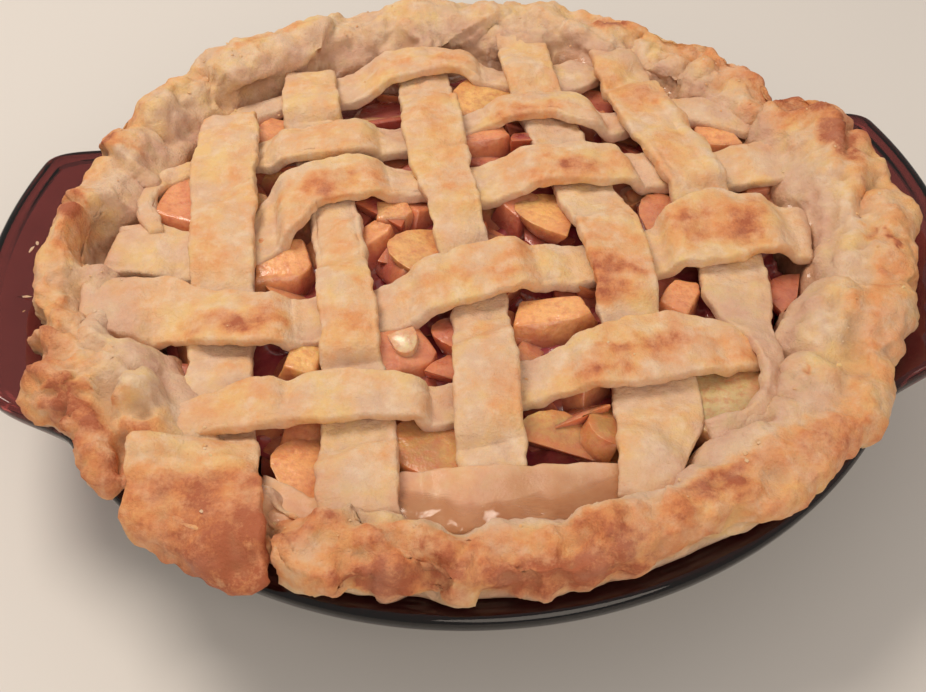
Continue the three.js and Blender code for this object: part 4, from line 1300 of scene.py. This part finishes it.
def crumb_grain_group():
    """The height of pastry's surface: dry crumb, blisters and fine wrinkles."""
    group, (place, blisters, wrinkles), end = new_group(
        "crumb_grain", {"Vector": "Vector", "Blisters": "Float", "Wrinkles": "Float"},
        {"Height": "Float"})
    crumb = noise(place, 1500, 5, 0.65)
    lumps = noise(place, 420, 4, 0.6)
    cells = add(group, "ShaderNodeTexVoronoi", {"Vector": place, "Scale": 260.0}, "Distance",
                feature="SMOOTH_F1")
    stretched = move(place, Rotation=(0.3, 0.2, 0.7), Scale=(1.0, 3.2, 1.0))
    lines = abs(noise(stretched, 210, 3, 0.5) - 0.5)
    feed(end, {"Height": crumb * 0.5 + lumps * 0.9 - cells * blisters + lines * wrinkles})
    return group


def new_material(name):
    """A material, its shader, and where each point of a face lies."""
    material = bpy.data.materials.new(name)
    material.use_nodes = True
    tree = material.node_tree
    return material, tree.nodes["Principled BSDF"], add(tree, "ShaderNodeTexCoord", {}, "Object")


def read(face, name, out="Fac"):
    return add(face.id_data, "ShaderNodeAttribute", {}, out, attribute_name=name)


def dough(name, colour_group, grain_group, blisters, wrinkles, depth):
    material, face, vector = new_material(name)
    wet = read(face, "wet")
    # The colour group paints shade into creases from the crease mark.
    colour = add(face.id_data, "ShaderNodeGroup",
                 {"Vector": vector, "Browning": read(face, "browning"),
                  "Soaked": read(face, "soaked"), "Crease Shade": read(face, "crease"), "Wet": wet},
                 "Color", node_tree=colour_group)
    toast = Wire(colour.socket.node.outputs["Toast"])
    grain = add(face.id_data, "ShaderNodeGroup",
                {"Vector": vector, "Blisters": blisters, "Wrinkles": wrinkles}, "Height",
                node_tree=grain_group)
    feed(face, {
        "Base Color": colour, "Roughness": (0.78 - toast * 0.2 - wet * 0.5).held(),
        "Coat Weight": wet, "Coat Roughness": 0.08, "Specular IOR Level": 0.35,
        "Subsurface Weight": 0.12, "Subsurface Radius": (1.0, 0.5, 0.25),
        "Subsurface Scale": 0.003, "Normal": bump(grain, 0.8, depth)})
    return material


def apple_flesh():
    """Cooked apple: pale inside each piece, stained orange and red towards its edges, and dark red
    the deeper it lies, partly as painted shade.
    """
    material, face, vector = new_material("apple_flesh")
    shifted = vector_math("ADD", [vector, read(face, "piece_number")])
    broad = noise(shifted, 130, 4, 0.6) - 0.5
    # The cream end of the ramp colours the piece that paints a white highlight.
    color = ramp((read(face, "tone") + broad * 0.3).held(), (0.0, 0.36, 0.06, 0.06),
                 (0.167, 0.78, 0.31, 0.17), (0.333, 0.95, 0.48, 0.20), (0.5, 0.92, 0.56, 0.20),
                 (0.667, 0.50, 0.27, 0.10), (0.833, 0.66, 0.49, 0.24), (1.0, 0.92, 0.72, 0.47))
    flat = vector_math("MULTIPLY", [read(face, "in_piece", "Vector"), (2.0, 2.0, 0.0)])
    far = vector_math("LENGTH", [flat], "Value") + broad * 1.6
    color = blend(ramp(far, (0.45, 0.0), (1.0, 1.0)) * 0.6, color, (0.74, 0.24, 0.09))
    freckles = ramp(noise(shifted, 420, 4, 0.65), (0.46, 0.0), (0.7, 0.6))
    color = blend(freckles, color, (0.60, 0.17, 0.08))
    # Dark red by the stained mark: syrup stain, and painted shade deep in the gaps.
    color = blend(read(face, "stained") * 0.8, color, (0.42, 0.085, 0.075))
    height = noise(shifted, 520, 3, 0.5) + noise(shifted, 180, 3, 0.5)
    feed(face, {
        "Base Color": color, "Roughness": noise(shifted, 260, 2) * 0.4 + 0.12,
        "Subsurface Weight": 0.35, "Subsurface Radius": (1.0, 0.45, 0.15),
        "Subsurface Scale": 0.004, "Coat Weight": 0.5, "Coat Roughness": 0.12,
        "Normal": bump(height, 0.5, 0.0008)})
    return material


def syrup():
    material, face, vector = new_material("apple_syrup")
    feed(face, {
        "Base Color": ramp(noise(vector, 130, 4), (0.3, 0.27, 0.03, 0.05),
                           (0.5, 0.38, 0.065, 0.07), (0.7, 0.48, 0.14, 0.09)),
        "Roughness": noise(vector, 300, 2) * 0.25 + 0.06, "Coat Weight": 0.8,
        "Coat Roughness": 0.05, "Subsurface Weight": 0.15, "Subsurface Scale": 0.004,
        "Normal": bump(noise(vector, 380), 0.5, 0.0008)})
    return material


def clear_syrup():
    material, face, vector = new_material("clear_syrup")
    feed(face, {
        "Base Color": ramp(noise(vector, 120, 4), (0.3, 0.54, 0.22, 0.09),
                           (0.7, 0.68, 0.35, 0.17)),
        "Alpha": read(face, "depth") * 0.6, "IOR": 1.42, "Roughness": 0.1,
        "Coat Weight": 0.6, "Coat Roughness": 0.03,
        "Normal": bump(noise(vector, 300), 0.5, 0.0007)})
    return material


def smoked_glass():
    material, face, vector = new_material("smoked_glass")
    haze = ramp(noise(vector, 45, 4, 0.6), (0.35, 0.20, 0.036, 0.034),
                (0.75, 0.165, 0.027, 0.026))
    feed(face, {
        "Transmission Weight": 1.0, "IOR": 1.5,
        # Painted shade: where the thickness mark is high, the body is near black; the handles keep
        # the lighter haze.
        "Base Color": blend(read(face, "thickness"), haze, (0.04, 0.008, 0.008)),
        "Roughness": ramp(noise(vector, 60, 5, 0.7), (0.5, 0.03), (0.8, 0.16)),
        "Normal": bump(noise(vector, 35, 2), 0.25, 0.0006)})
    return material


# Camera, light and floor

def put_in_scene(name, data):
    item = bpy.data.objects.new(name, data)
    bpy.context.collection.objects.link(item)
    return item


def set_camera():
    down, roll = math.radians(CAMERA_DOWN), math.radians(CAMERA_ROLL)
    backward = Vector((0, -math.cos(down), math.sin(down)))
    level_right = Vector((1, 0, 0))
    level_up = Vector((0, math.sin(down), math.cos(down)))
    right = math.cos(roll) * level_right + math.sin(roll) * level_up
    up = -math.sin(roll) * level_right + math.cos(roll) * level_up
    lens = bpy.data.cameras.new("camera")
    lens.sensor_width = SENSOR_WIDTH
    lens.lens = CAMERA_LENS
    lens.clip_start = 0.01
    camera = put_in_scene("camera", lens)
    camera.matrix_world = (Matrix.Rotation(FOOD_TURN, 4, "Z")
                           @ Matrix.Translation(Vector(CAMERA_PLACE) * MM)
                           @ Matrix((right, up, backward)).transposed().to_4x4())
    bpy.context.scene.camera = camera


def area_light(name, place, size, power, color):
    light = bpy.data.lights.new(name, "AREA")
    light.shape = "DISK"
    light.size = size
    light.energy = power
    light.color = color
    lamp = put_in_scene(name, light)
    lamp.location = place
    to_pie = Vector((0, 0, 0.05)) - Vector(place)
    lamp.rotation_euler = to_pie.to_track_quat("-Z", "Y").to_euler()


def set_studio():
    area_light("window_light", (-0.4, 0.35, 1.0), 0.5, 7.2, (1.0, 0.89, 0.77))
    area_light("front_fill", (0.25, -1.0, 0.8), 1.0, 5.6, (1.0, 0.88, 0.75))
    world = bpy.data.worlds.new("studio")
    bpy.context.scene.world = world
    world.use_nodes = True
    feed(world.node_tree.nodes["Background"], {"Color": (1.0, 0.94, 0.88), "Strength": 0.37})
    bpy.context.scene.view_settings.view_transform = "Standard"
    bpy.ops.mesh.primitive_plane_add(size=3.0, location=(0, 0, 0))
    floor = named("floor")
    paint = bpy.data.materials.new("floor_paint")
    paint.use_nodes = True
    feed(paint.node_tree.nodes["Principled BSDF"],
         {"Base Color": (0.74, 0.71, 0.68), "Roughness": 0.6})
    floor.data.materials.append(paint)


# The making

set_camera()
set_studio()

groups = (baked_colour_and_crease_shade_group(), crumb_grain_group())
rim_finish = dough("rim_dough", *groups, 0.5, 0.5, 0.0011)
strip_finish = dough("lattice_dough", *groups, 0.3, 0.35, 0.0009)
glazed_finish = dough("glazed_dough", *groups, 0.1, 0.2, 0.0004)

dish = make_dish()
hand_over(dish, smoked_glass(), "dish_glass", "dish")

crust = make_crust()
hand_over(crust, rim_finish, "crust", "crust")
crust_tree = tree_of(crust)

trees = [tree_of(dish), crust_tree]
for is_cross, strips in enumerate(STRIPS):
    for index in range(len(strips)):
        strip = make_strip(is_cross, index, crust_tree)
        node = f"strip_{STRIP_NAMES[is_cross]}_{index + 1}"
        finish = glazed_finish if node == "strip_cross_6" else strip_finish
        hand_over(strip, finish, "lattice", node)
        trees.append(tree_of(strip))

hand_over(make_syrup_bed(), syrup(), "filling", "filling")
hand_over(make_apple_slices(), apple_flesh(), "filling")
hand_over(make_syrup_pool(trees), clear_syrup(), "filling")
hand_over(make_crumbs(trees), strip_finish, "crust")
